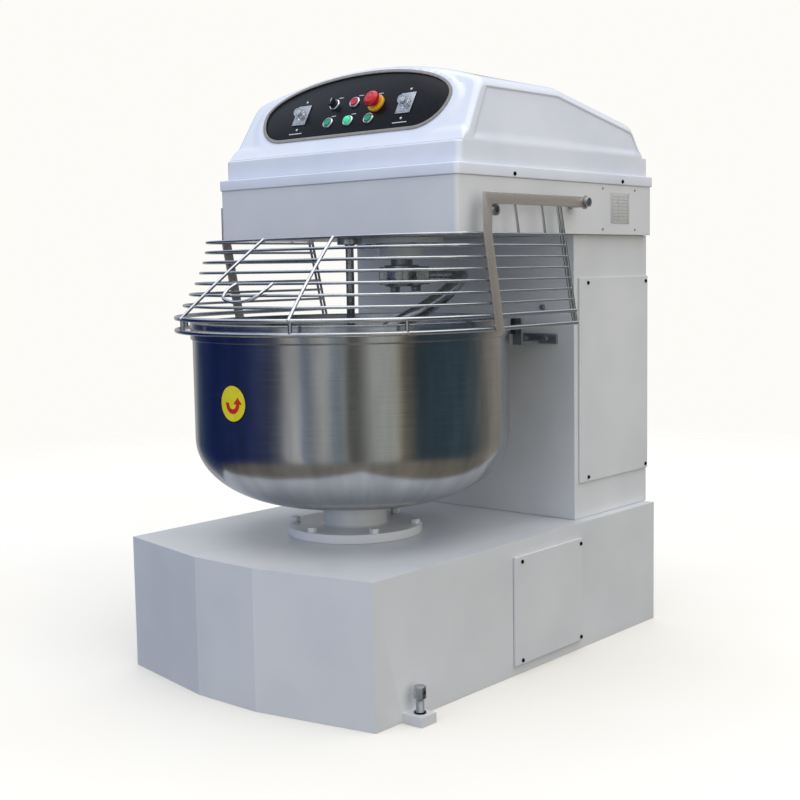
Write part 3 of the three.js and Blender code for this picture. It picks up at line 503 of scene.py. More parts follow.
def slot_of(node):
    """The record's material slot of a CAD node."""
    return next(s["material_slot"] for s in frame["record"]["subparts"] if s["node"] == node)


# Width of the rounded folds on each sheet piece.
FOLDS = {
    "base_housing": 3.0, "base_side_cover_left": 2.0, "base_side_cover_right": 2.0, "column_housing": 3.0,
    "column_side_cover_left": 2.0, "column_side_cover_right": 2.0, "rear_cover": 2.0, "head_housing": 1.5,
}


LIP_SCREWS = {"y": (-35, 443), "z": 1190}
HEAD_RIVETS = {"y": (353, 511), "z": (1170, 1067)}


def cover_screws(name, node, side, edge_front, edge_rear, edge_high, edge_low):
    """Black button-head screws in the corners of a side cover."""
    low, high = low_high(node)
    face = high.x if side > 0 else low.x
    screws = []
    for y in (low.y + edge_front, high.y - edge_rear):
        for z in (low.z + edge_low, high.z - edge_high):
            screw = socket_screw(name, 5.0, 3.0)
            screws.append(moved(screw, facing((face, y, z), (side, 0, 0))))
    shown(joined(name, screws), BLACK_OXIDE, ROOT, slot="steel")


def make_housings():
    for node, width in FOLDS.items():
        housing(node, width)
    for side, label in ((-1, "left"), (1, "right")):
        cover_screws(f"base_cover_screws_{label}", f"base_side_cover_{label}", side, 27, 8, 14, 10)
        cover_screws(f"column_cover_screws_{label}", f"column_side_cover_{label}", side, 38, 12, 14, 12)
        lip = []
        for y in LIP_SCREWS["y"]:
            place = facing((side * HOOD_HIGH.x, y, LIP_SCREWS["z"]), (side, 0, 0))
            lip.append(moved(socket_screw("lip_screw", 5.0, 3.0), place))
        shown(joined(f"hood_screws_{label}", lip), BLACK_OXIDE, ROOT, slot="steel")
        pins = []
        for z in HEAD_RIVETS["z"]:
            for y in HEAD_RIVETS["y"]:
                place = facing((side * HEAD_HIGH.x, y, z), (side, 0, 0))
                pins.append(moved(socket_screw("head_screw", 3.2, 1.6), place))
        shown(joined(f"head_rivets_{label}", pins), ZINC, ROOT, slot="steel")
    low, high = low_high("rear_cover")
    rear = []
    for x in (low.x + 14, 0, high.x - 14):
        for z in (low.z + 8, high.z - 8):
            rear.append(moved(socket_screw("rear_screw", 5.0, 3.0), facing((x, high.y, z), (0, 1, 0))))
    shown(joined("rear_cover_screws", rear), BLACK_OXIDE, ROOT, slot="steel")


def make_data_plate():
    """Blank rating plate with a ruled frame and rivets."""
    low, high = low_high("data_plate")
    plate = brick("rating_plate", low, high)
    soften(plate, 0.4)
    shown(plate, PRINTED, ROOT, "data_plate", slot=slot_of("data_plate"))
    x = high.x
    rules = []
    top, bottom = high.z - 10, low.z + 8
    rows = 7
    for i in range(rows + 1):
        z = bottom + (top - bottom) * i / rows
        rules.append(brick("rule", (x, low.y + 7, z - 0.35), (x + 0.15, high.y - 7, z + 0.35)))
    for y in (low.y + 7, (low.y * 0.6 + high.y * 0.4), high.y - 7):
        rules.append(brick("rule", (x, y - 0.35, bottom), (x + 0.15, y + 0.35, top)))
    shown(joined("rating_plate_rules", rules), GREY_INK, ROOT)
    rivets = []
    for y in (low.y + 3.5, high.y - 3.5):
        for z in (low.z + 3.5, high.z - 3.5):
            rivet = turned("rivet", [(0, 0), *arc((0, -1.0), 2.2, 27, 90, 4)], steps=16)
            rivets.append(moved(rivet, facing((x, y, z), RIGHT)))
    shown(joined("rating_plate_rivets", rivets), ALUMINIUM, ROOT)


# ---- Bowl and its bearing housing ----

BOWL = {"r": 387, "flat": 130, "corner": 572, "wall": 3, "band": 812}
NECK = {"r": 79, "flange": 167, "bolt_circle": 153, "bolts": 6, "across": 21}
STICKER = {"r": 43, "z": 678, "azimuth": -91.5}


def bowl_skin(inset, steps=28):
    """Bowl section from the axis to the wall: flat middle, quarter ellipse, then the wall."""
    floor = BOWL_LOW.z + inset
    points = [(0, floor)]
    for i in range(steps + 1):
        angle = math.pi / 2 * i / steps
        points.append((BOWL["flat"] + (BOWL["r"] - BOWL["flat"] - inset) * math.sin(angle),
                       BOWL["corner"] - (BOWL["corner"] - floor) * math.cos(angle)))
    return points


def make_bowl():
    """Thin bowl with a raised band under its rim, and the disc that carries it."""
    r, wall, band, edge, top = BOWL["r"], BOWL["wall"], BOWL["band"], BOWL_HIGH.x, BOWL_HIGH.z
    outer = [*bowl_skin(0), (r, band - 3), (r + 0.6, band), (edge - 1, band + 2), (edge, band + 5),
             (edge, top - 3), (edge - 1, top - 0.8), (edge - 3, top)]
    rim = [(r, top), (r - 2, top - 0.6), (r - wall, top - 3)]
    centre = (BOWL_AXIS.x, BOWL_AXIS.y)
    shell = turned("bowl_shell", outer + rim + list(reversed(bowl_skin(wall))), centre, 144)
    shown(shell, SPUN, "bowl_turning", "bowl", slot="stainless")
    low, high = low_high("bowl_mounting_disc")
    bore, r = 31, high.x
    profile = [(bore, low.z), (r - 1.5, low.z), (r, low.z + 1.5), (r, high.z), (bore, high.z), (bore, low.z)]
    disc = turned("bowl_disc", profile, centre, 72)
    shown(disc, FORGED, "bowl_turning", "bowl_mounting_disc", slot="stainless")


def make_bearing_housing():
    centre = (BOWL_AXIS.x, BOWL_AXIS.y)
    low, high = low_high("bearing_housing")
    deck = BASE_HIGH.z + 0.3
    flange_top, inside, tube = deck + 22, 48, 70
    flange, neck, fillet = NECK["flange"], NECK["r"], 8
    round_in = arc((neck + fillet, flange_top + fillet), fillet, 270, 180, 5)
    profile = [(inside, low.z), (tube, low.z), (tube, deck), (flange, deck), (flange, flange_top),
               (neck + fillet, flange_top), *round_in[1:], (neck, high.z), (inside, high.z), (inside, low.z)]
    body = soften(turned("bearing_casting", profile, centre, 120), 1.6, 3)
    shown(body, ENAMEL, ROOT, "bearing_housing", slot="housing_paint")
    bolts = []
    for i in range(NECK["bolts"]):
        angle = 2 * math.pi * i / NECK["bolts"] - math.pi / 2
        x, y = (centre[k] + NECK["bolt_circle"] * turn(angle) for k, turn in enumerate((math.cos, math.sin)))
        place = Matrix.Translation(Vector((x, y, flange_top)) * MM)
        bolt = hex_bolt("flange_bolt", NECK["across"], 11)
        bolts.append(moved(bolt, place @ Matrix.Rotation(0.4 * i, 4, "Z")))
    shown(joined("flange_bolts", bolts), ENAMEL, ROOT, slot="steel")


def wrapped(obj, radius, azimuth, height, lift):
    """Lays a flat piece, drawn round the origin in X and Y, on the bowl wall."""
    for vertex in obj.data.vertices:
        x, y, z = vertex.co / MM
        angle = math.radians(azimuth) + x / radius
        reach = radius + lift + z
        out = Vector((math.cos(angle), math.sin(angle), 0)) * reach
        vertex.co = (Vector((BOWL_AXIS.x, BOWL_AXIS.y, height + y)) + out) * MM
    return tidy(obj)


def disc_plate(name, radius, thick):
    """Round film round the origin, fine enough to bend."""
    rings = [radius * i / 8 for i in range(9)]
    return turned(name, [(r, 0) for r in rings] + [(r, thick) for r in reversed(rings)], steps=64)


def make_sticker():
    """Round vinyl sticker with a turning arrow on the bowl."""
    r, z, azimuth = STICKER["r"], STICKER["z"], STICKER["azimuth"]
    back = wrapped(disc_plate("arrow_sticker_edge", r, 0.2), BOWL["r"], azimuth, z, 0.1)
    shown(back, VINYL_BLACK, "bowl_turning")
    face = wrapped(disc_plate("arrow_sticker", r - 2.5, 0.15), BOWL["r"], azimuth, z, 0.35)
    shown(face, VINYL_YELLOW, "bowl_turning")
    sweep = []
    for i in range(25):
        angle = math.radians(170 + 190 * i / 24)
        sweep.append((math.cos(angle), math.sin(angle)))
    width = 5.5
    outline = [((17 + width) * c, (17 + width) * s - 1) for c, s in sweep]
    outline += [(31, -1), (17, 15), (3, -1)]
    outline += [((17 - width) * c, (17 - width) * s - 1) for c, s in reversed(sweep)]
    arrow = slab("turning_arrow", outline, 0, 0.15)
    edit(arrow)
    bpy.ops.mesh.quads_convert_to_tris()
    bpy.ops.mesh.subdivide(number_cuts=2)
    close_edit()
    shown(wrapped(arrow, BOWL["r"], azimuth, z, 0.6), VINYL_RED, "bowl_turning")


# ---- Hook, spindle and breaker bar ----

HOOK = {
    "r": 155, "bar": 19, "top": 957, "end": 472, "turns": 1.35, "facing": 40.8, "start": 72, "lead": 0.05,
    "elbow": 0.07, "steep": 0.55, "clear": 9,
}
CLAMP = {"r": 46, "inner": -58, "outer": 71, "half": 27, "step": 4}
SEAT = {"bore": 50, "barrel": 60, "flange": 108, "low": 1039, "top": 1053, "bolt_circle": 86}


def bowl_reach(z):
    """Radius of the bowl's inner skin at a height."""
    inner, floor = BOWL["r"] - BOWL["wall"], BOWL_LOW.z + BOWL["wall"]
    if z >= BOWL["corner"]:
        return inner
    drop = min(1, (BOWL["corner"] - z) / (BOWL["corner"] - floor))
    return BOWL["flat"] + (inner - BOWL["flat"]) * math.sqrt(1 - drop * drop)


def hook_point(t):
    """Centre line of the spiral: out of the clamp, round an elbow, then down a closing helix."""
    h = HOOK
    run = max(0, (t - h["lead"]) / (1 - h["lead"]))
    fall = run * run / (2 * h["elbow"]) if run < h["elbow"] else run - h["elbow"] / 2
    share = fall / (1 - h["elbow"] / 2)
    z = h["top"] - (h["top"] - h["end"]) * share * (1 + h["steep"] * (1 - share))
    angle = math.radians(h["facing"] - 360 * h["turns"] * run)
    room = bowl_reach(z - h["bar"]) - (SPINDLE_AXIS.y - BOWL_AXIS.y) - h["bar"] - h["clear"]
    swing = math.sin(min(1, t / (h["lead"] + h["elbow"] / 2)) * math.pi / 2)
    radius = min(h["r"], room, h["start"] + (h["r"] - h["start"]) * swing)
    return (radius * math.cos(angle), SPINDLE_AXIS.y + radius * math.sin(angle), z)


def make_hook():
    points = [hook_point(i / 180) for i in range(181)]
    bar = wire("hook_bar", points, HOOK["bar"] - 0.3, 28, taper=8)
    shown(bar, FORGED, "spindle", "spiral_hook", slot="stainless")
    low, high = low_high("hook_clamp")
    place = Matrix.Translation(Vector((0, SPINDLE_AXIS.y, 0)) * MM)
    turn = place @ Matrix.Rotation(math.radians(HOOK["facing"]), 4, "Z")
    r, half, step = CLAMP["r"], CLAMP["half"], CLAMP["step"]
    boss = soften(turned("clamp_boss", [(0, low.z), (r, low.z), (r, high.z), (0, high.z)], steps=72), 2.5, 3)
    block_low, block_high = low.z + step, high.z - step
    block = brick("clamp_block", (CLAMP["inner"], -half, block_low), (CLAMP["outer"], half, block_high))
    combined(boss, soften(block, 3.0, 3), "UNION")
    shown(moved(tidy(boss), turn), FORGED, "spindle", "hook_clamp", slot="stainless")
    under = []
    for x, z in ((-18, low.z + 0.5), (36, block_low)):
        bolt = hex_bolt("clamp_bolt", 24, 14, washer=17)
        under.append(moved(bolt, turn @ facing((x, 0, z), (0, 0, -1))))
    shown(joined("clamp_bolts", under), ZINC, "spindle", slot="steel")


def make_breaker():
    """The bar that stands in the dough, and the spindle's casting above it."""
    low, high = low_high("breaker_bar")
    r, foot, shoulder = 10, 30, high.z - 24
    profile = [(0, low.z), *arc((r - 3, low.z + 3), 3, 270, 360, 4), (r, shoulder),
               *arc((r + 6, shoulder), 6, 180, 90, 5), (foot, shoulder + 6), (foot, high.z), (0, high.z)]
    post = soften(turned("breaker_post", profile, (BOWL_AXIS.x, BOWL_AXIS.y), 40), 0.8)
    shown(post, FORGED, ROOT, "breaker_bar", slot="stainless")
    low, high = low_high("spindle_housing")
    bore, barrel, flange = SEAT["bore"], SEAT["barrel"], SEAT["flange"]
    profile = [(bore, low.z), (barrel, low.z), (barrel, SEAT["low"]), (flange, SEAT["low"]),
               (flange, SEAT["top"]), (barrel, SEAT["top"]), (barrel, high.z), (bore, high.z), (bore, low.z)]
    nose = soften(turned("spindle_casting", profile, (0, SPINDLE_AXIS.y), 72), 1.5)
    shown(nose, ENAMEL, ROOT, "spindle_housing", slot="housing_paint")
    bolts = []
    for i in range(6):
        angle = 2 * math.pi * (i + 0.5) / 6
        reach = SEAT["bolt_circle"]
        point = (reach * math.cos(angle), SPINDLE_AXIS.y + reach * math.sin(angle), SEAT["low"])
        bolts.append(moved(hex_bolt("spindle_bolt", 16, 8), facing(point, (0, 0, -1))))
    shown(joined("spindle_bolts", bolts), ZINC, ROOT, slot="steel")


# ---- Guard ----

GUARD = {
    "leg": 424, "wire": 3.5, "ring": 5.5, "top": 1050, "bottom": 836, "ring_top": 866, "step": 26, "wires": 7,
    "end_top": 127, "end_bottom": 180, "leg_top": -255, "depth_top": 100, "rod_top": 115, "rod_low": 178,
    "stub": 365, "hangers": (-62, 45),
}
PIVOT = middle("guard_pivot_right")
STOP = middle("guard_stop_right")


def hoop_front(z):
    """Where a hoop's straight legs end and how far its front bows, at a height."""
    share = min(1, max(0, (GUARD["top"] - z) / (GUARD["top"] - GUARD["ring_top"])))
    leg_y = GUARD["leg_top"] + (BOWL_AXIS.y - GUARD["leg_top"]) * share
    depth = GUARD["depth_top"] + (GUARD["leg"] - GUARD["depth_top"]) * share
    return leg_y, depth


def front_y(x, z):
    leg_y, depth = hoop_front(z)
    return leg_y - depth * math.sqrt(1 - (x / GUARD["leg"]) ** 2)


def hoop(z, radius):
    leg_y, depth = hoop_front(z)
    down = (GUARD["top"] - z) / (GUARD["top"] - GUARD["bottom"])
    end = GUARD["end_top"] + (GUARD["end_bottom"] - GUARD["end_top"]) * down
    leg, steps = GUARD["leg"], 64
    points = [(leg, end, z)]
    for i in range(steps + 1):
        angle = math.pi * i / steps
        points.append((leg * math.cos(angle), leg_y - depth * math.sin(angle), z))
    points.append((-leg, end, z))
    return wire("hoop", points, radius, 12)


def make_guard():
    g = GUARD
    wires = [hoop(g["top"] - i * g["step"], g["wire"]) for i in range(g["wires"])]
    wires += [hoop(g["ring_top"], g["ring"]), hoop(g["bottom"], g["ring"])]
    bar_low = low_high("guard_side_bar_right")[1].z - 26
    slope = (g["end_bottom"] - g["end_top"]) / (g["top"] - g["bottom"])
    rise = (bar_low - g["top"]) * slope
    for side in (-1, 1):
        points = []
        for i in range(24):
            share = i / 23
            x = g["rod_top"] + (g["rod_low"] - g["rod_top"]) * share
            z = g["top"] + (g["ring_top"] - g["top"]) * share
            points.append((side * x, front_y(x, z) - g["wire"] - 2.5, z))
        wires.append(wire("front_rod", points, 4, 12))
        for x in (g["rod_low"], g["stub"]):
            y = front_y(x, g["ring_top"])
            wires.append(wire("stub", [(side * x, y, g["ring_top"]), (side * x, y, g["bottom"])], 5, 12))
        leg = side * g["leg"]
        for y in (g["end_top"] - 2, g["end_top"] - 15):
            end = (leg, y + g["end_bottom"] - g["end_top"], g["bottom"])
            wires.append(wire("end_rod", [(leg, y - rise, bar_low), end], 3.5, 12))
        for y in g["hangers"]:
            wires.append(wire("hanger", [(leg, y - 16, bar_low), (leg, y, g["top"])], 3, 12))
    shown(joined("guard_wires", wires), WIRE, "guard", "guard_cage", slot="stainless")

    handle_z = g["top"] - 4 * g["step"]
    hold = front_y(60, handle_z) - g["wire"] - 4
    half = [(60, 0, 0), (62, -26, -14), (48, -50, -32)]
    corners = [(-x, y, z) for x, y, z in half] + [(0, -58, -40)] + list(reversed(half))
    smooth = catmull([Vector((x, hold + y, handle_z + z)) for x, y, z in corners], 8)
    shown(wire("guard_loop", smooth, 4, 16), WIRE, "guard", "guard_handle", slot="stainless")

    for side, label in ((-1, "left"), (1, "right")):
        node = f"guard_side_bar_{label}"
        bar = soften(cad_copy(f"guard_flat_bar_{label}", node), 0.7, 2)
        shown(bar, BAR_STEEL, "guard", node, slot="stainless")
        low, high = low_high(f"guard_pivot_{label}")
        inner, outer = (low.x, high.x) if side > 0 else (high.x, low.x)
        length = abs(outer - inner)
        neck = abs(GUARD["leg"] + 5.8) - abs(inner)
        profile = [(0, 0), (15, 0), (15, 4), (12.5, 5), (12.5, neck - 1), (7, neck - 1), (7, neck + 6.4),
                   (11.2, neck + 6.4), (11.2, length), (6.2, length), (6.2, length - 7), (0, length - 7)]
        pin = soften(turned(f"guard_pin_{label}", profile, steps=48), 0.7, 2)
        place = facing((inner, PIVOT.y, PIVOT.z), (side, 0, 0))
        shown(moved(pin, place), ZINC, ROOT, f"guard_pivot_{label}", slot="stainless")
        low, high = low_high(f"guard_stop_{label}")
        inner, outer = (low.x, high.x) if side > 0 else (high.x, low.x)
        length = abs(outer - inner)
        profile = [(0, 0), (12.2, 0), (12.2, length), (6.6, length), (6.6, length - 8), (0, length - 8)]
        stub = soften(turned(f"guard_rest_{label}", profile, steps=48), 0.8, 2)
        place = facing((inner, STOP.y, STOP.z), (side, 0, 0))
        shown(moved(stub, place), ZINC, ROOT, f"guard_stop_{label}", slot="stainless")


def catmull(knots, steps):
    """Smooth line through the knots."""
    points = []
    padded = [knots[0] * 2 - knots[1], *knots, knots[-1] * 2 - knots[-2]]
    for a, b, c, d in zip(padded, padded[1:], padded[2:], padded[3:]):
        for i in range(steps):
            t = i / steps
            points.append(0.5 * ((2 * b) + (c - a) * t + (2 * a - 5 * b + 4 * c - d) * t * t
                                 + (3 * b - a - 3 * c + d) * t ** 3))
    return [*points, knots[-1]]


# ---- Column fittings and feet ----


def make_rim_guide():
    bracket = soften(cad_copy("rim_guide_plate", "rim_guide_bracket"), 0.8)
    shown(bracket, ZINC, ROOT, "rim_guide_bracket", slot="steel")
    pad = soften(cad_copy("rim_guide_block", "rim_guide_pad"), 1.2, 3)
    shown(pad, NYLON, ROOT, "rim_guide_pad", slot="nylon")
    front = COLUMN_LOW.y
    fixing = [moved(hex_bolt("guide_bolt", 13, 6), facing((x, front - 8, 790), FRONT)) for x in (224, 288)]
    shown(joined("rim_guide_bolts", fixing), ZINC, ROOT, slot="steel")
    lone = moved(hex_bolt("column_plug", 12, 5, washer=8), facing((274, front, 870), FRONT))
    shown(lone, ZINC, ROOT, slot="steel")


def make_feet():
    for side, label in ((-1, "left"), (1, "right")):
        node = f"levelling_screw_{label}"
        low, high = low_high(node)
        x, y = (low.x + high.x) / 2, (low.y + high.y) / 2
        r, head_low, head = 9.5, 55, 14
        thread = []
        z = low.z + 2
        while z < head_low - 4:
            thread += [(r, z), (r - 0.9, z + 1.25)]
            z += 2.5
        profile = [(0, low.z), (r - 2, low.z), *thread, (r, head_low - 1), (r, head_low),
                   (head - 1, head_low), (head, head_low + 1), (head, 79), (12, high.z), (0, high.z)]
        screw = turned(f"foot_screw_{label}", profile, (x, y), 48)
        hole = turned("cross_hole", [(0, -20), (4.5, -20), (4.5, 20), (0, 20)], steps=24)
        combined(screw, moved(hole, facing((x, y, 69), RIGHT)), "DIFFERENCE")
        shown(screw, ZINC, f"screw_{label}", node, slot="steel")
        bore, rim, lug_top = r + 0.6, 13.5, 22
        profile = [(bore, lug_top), (rim, lug_top), (rim, lug_top + 3), (bore, lug_top + 3), (bore, lug_top)]
        ring = turned(f"foot_nut_{label}", profile, (x, y), 40)
        shown(soften(ring, 0.5), BLACK_OXIDE, ROOT, slot="steel")


# ---- Hood ----

LIP = {"w": 394, "front": -250, "rear": 604, "low": 1181.3, "top": 1208}
BAND = {"w": 384, "front": -230, "rear": 590, "top": 1258}
PANEL = {"y": -218, "z": 1258, "tilt": 60}
OUTLINE = {"half": 302, "mid": 125, "rise": 100, "flat": 215, "drop": 79}
ROOF = {"shoulder": 350, "z": 1410, "crown": 57, "front": 180, "back": 523, "drop": 68, "round": 22}
SIDE_RECESS = 3.5
FACE_STEP = 5.0


def ease(value):
    """0 below 0, 1 above 1, smooth between."""
    t = min(1, max(0, value))
    return t * t * (3 - 2 * t)


def outside_panel(x, h):
    """About how far a point of the sloping face lies outside the panel outline."""
    o = OUTLINE
    if h >= o["mid"]:
        across, along = abs(x), h - o["mid"]
        k = math.hypot(across / o["half"], along / o["rise"])
    else:
        across, along = max(0, abs(x) - o["flat"]), o["mid"] - h
        k = math.hypot(across / (o["half"] - o["flat"]), along / o["drop"])
    return (k - 1) * math.hypot(across, along) / max(k, 0.01)


def hood_top(x, y):
    """Height of the hood: the panel slope, the crowned roof and the sloping back, blended where they meet."""
    slope = math.tan(math.radians(PANEL["tilt"]))
    up = (y - PANEL["y"]) / math.cos(math.radians(PANEL["tilt"]))
    step = 2 * FACE_STEP * ease((outside_panel(x, up) - 22) / 16) * ease((up - 25) / 30)
    rise = (y - PANEL["y"]) * slope - step
    back = (562 - y) * 1.9
    along = min(1, max(0, (y - ROOF["front"]) / (ROOF["back"] - ROOF["front"])))
    early = min(1, max(0, (y + 90) / (ROOF["front"] + 90)))
    crown = ROOF["crown"] - 17 * early - 25 * along
    roof = ROOF["z"] - ROOF["drop"] * along - BAND["top"] + crown * (1 - (x / ROOF["shoulder"]) ** 2)
    soft = 7
    near = -soft * math.log(math.exp(-rise / soft) + math.exp(-roof / soft))
    low = -soft * math.log(math.exp(-near / soft) + math.exp(-back / soft))
    return BAND["top"] + max(3, low)


def hood_section(y):
    """Half section of the hood at y, from the band up the side, over the shoulder, to the middle."""
    edge = hood_top(ROOF["shoulder"], y)
    height = edge - BAND["top"]
    radius = min(ROOF["round"], height * 0.6)

    def wall(z):
        face_y = PANEL["y"] + (z - BAND["top"]) / math.tan(math.radians(PANEL["tilt"]))
        inset = ease((edge - 22 - z) / 5) * ease((y - face_y - 34) / 8) * ease((545 - y) / 8)
        inset *= ease((z - BAND["top"] - 4) / 14)
        return BAND["w"] - (z - BAND["top"]) * 0.1 - SIDE_RECESS * inset

    turn_z = edge - radius
    ladder = [(BAND["top"] + (edge - 34 - BAND["top"]) * i / 12) for i in range(12)] if height > 60 else []
    low = ladder[-1] if ladder else BAND["top"]
    start = 1 if ladder else 0
    ladder += [low + (turn_z - low) * (i + start) / (11 + start) for i in range(12)]
    while len(ladder) < 24:
        ladder.insert(0, BAND["top"])
    half = [(wall(z), z) for z in ladder[:24]]
    turn_x = wall(turn_z)
    for i in range(1, 9):
        angle = math.pi / 2 * i / 8
        x = turn_x - radius + radius * math.cos(angle)
        half.append((x, hood_top(x, y) - radius + radius * math.sin(angle)))
    across = 40
    for i in range(1, across + 1):
        x = (turn_x - radius) * (1 - i / across)
        half.append((x, hood_top(x, y)))
    return half


def stations():
    """Places along Y where the hood's section is taken: close together over the slope and at the back."""
    rows = [-216 + 4 * i for i in range(44)]
    rows += [-40 + 16 * (i + 1) for i in range(32)]
    return rows + [480 + 6 * i for i in range(13)] + [558]


def rounded_plan(w, front, rear, radius, steps=8):
    corners = [(w, front, -90), (w, rear, 0), (-w, rear, 90), (-w, front, 180)]
    points = []
    for x, y, start in corners:
        cx, cy = x - math.copysign(radius, x), y + (radius if y == front else -radius)
        points += [(cx + radius * math.cos(math.radians(start + 90 * i / steps)),
                    cy + radius * math.sin(math.radians(start + 90 * i / steps))) for i in range(steps + 1)]
    return points


def panel_outline(grow, steps=60):
    """Panel outline on the slope: half an ellipse above, quarter ellipses at the lower corners."""
    o = OUTLINE
    points = []
    for i in range(steps + 1):
        angle = math.pi * i / steps
        points.append(((o["half"] + grow) * math.cos(angle), o["mid"] + (o["rise"] + grow) * math.sin(angle)))
    corner = o["half"] - o["flat"]
    for side, start in ((-1, 180), (1, 270)):
        for i in range(0 if side > 0 else 1, 16 if side < 0 else 15):
            angle = math.radians(start + 6 * i)
            points.append((side * o["flat"] + (corner + grow) * math.cos(angle),
                           o["mid"] + (o["drop"] + grow) * math.sin(angle)))
    return points


TO_PANEL = (Matrix.Translation(Vector((0, PANEL["y"], PANEL["z"])) * MM)
            @ Matrix.Rotation(math.radians(PANEL["tilt"]), 4, "X"))


def make_hood():
    rows = [hood_section(y) for y in stations()]
    count = len(rows[0])
    across = 2 * count - 1
    bpy.ops.object.select_all(action="DESELECT")
    bpy.ops.mesh.primitive_grid_add(x_subdivisions=across - 1, y_subdivisions=len(rows) - 1, size=1.0,
                                    location=(0, 0, 0))
    crown = named("hood_crown")
    for j, (y, half) in enumerate(zip(stations(), rows)):
        section = half + [(-x, z) for x, z in reversed(half[:-1])]
        for i, (x, z) in enumerate(section):
            crown.data.vertices[j * across + i].co = Vector((-x, y, z)) * MM
    edit(crown)
    bpy.ops.mesh.select_all(action="DESELECT")
    bpy.ops.mesh.select_mode(type="EDGE")
    bpy.ops.mesh.select_non_manifold()
    bpy.ops.mesh.extrude_region_move(TRANSFORM_OT_translate={"value": (0, 0, -20 * MM)})
    bpy.ops.transform.resize(value=(1, 1, 0), center_override=(0, 0, (BAND["top"] - 8) * MM))
    bpy.ops.mesh.edge_face_add()
    bpy.ops.mesh.select_mode(type="VERT")
    close_edit()
    crown = tidy(crown)
    plan = rounded_plan(BAND["w"], BAND["front"], BAND["rear"], 14)
    band = soften(slab("hood_band", plan, LIP["top"] - 6, BAND["top"]), 4, 4, 60)
    plan = rounded_plan(LIP["w"], LIP["front"], LIP["rear"], 14)
    lip = soften(slab("hood_lip", plan, LIP["low"], LIP["top"]), 3, 4, 60)
    for other in (band, crown):
        combined(lip, other, "UNION")
    combined(lip, moved(slab("pocket", panel_outline(0), -12, 16), TO_PANEL), "DIFFERENCE")
    lip.name = "hood_shell"
    lip.data.name = "hood_shell"
    shown(lip, GELCOAT, ROOT, "hood", slot="hood_gloss", angle=28)


# ---- Control panel: X runs along it, Y up the slope, Z out of it ----

BUTTON = {"bezel": 15.5, "recess": 11.3, "cap": 10.5, "proud": 5}


def spot(node):
    """Where a fitting's axis meets the panel face, in the panel's own X and Y."""
    local = TO_PANEL.inverted() @ (middle(node) * MM)
    return local.x / MM, local.y / MM


def on_panel(obj, x, h):
    """Moves a piece drawn round the origin to a place on the panel."""
    return moved(obj, TO_PANEL @ Matrix.Translation(Vector((x, h, 0)) * MM))


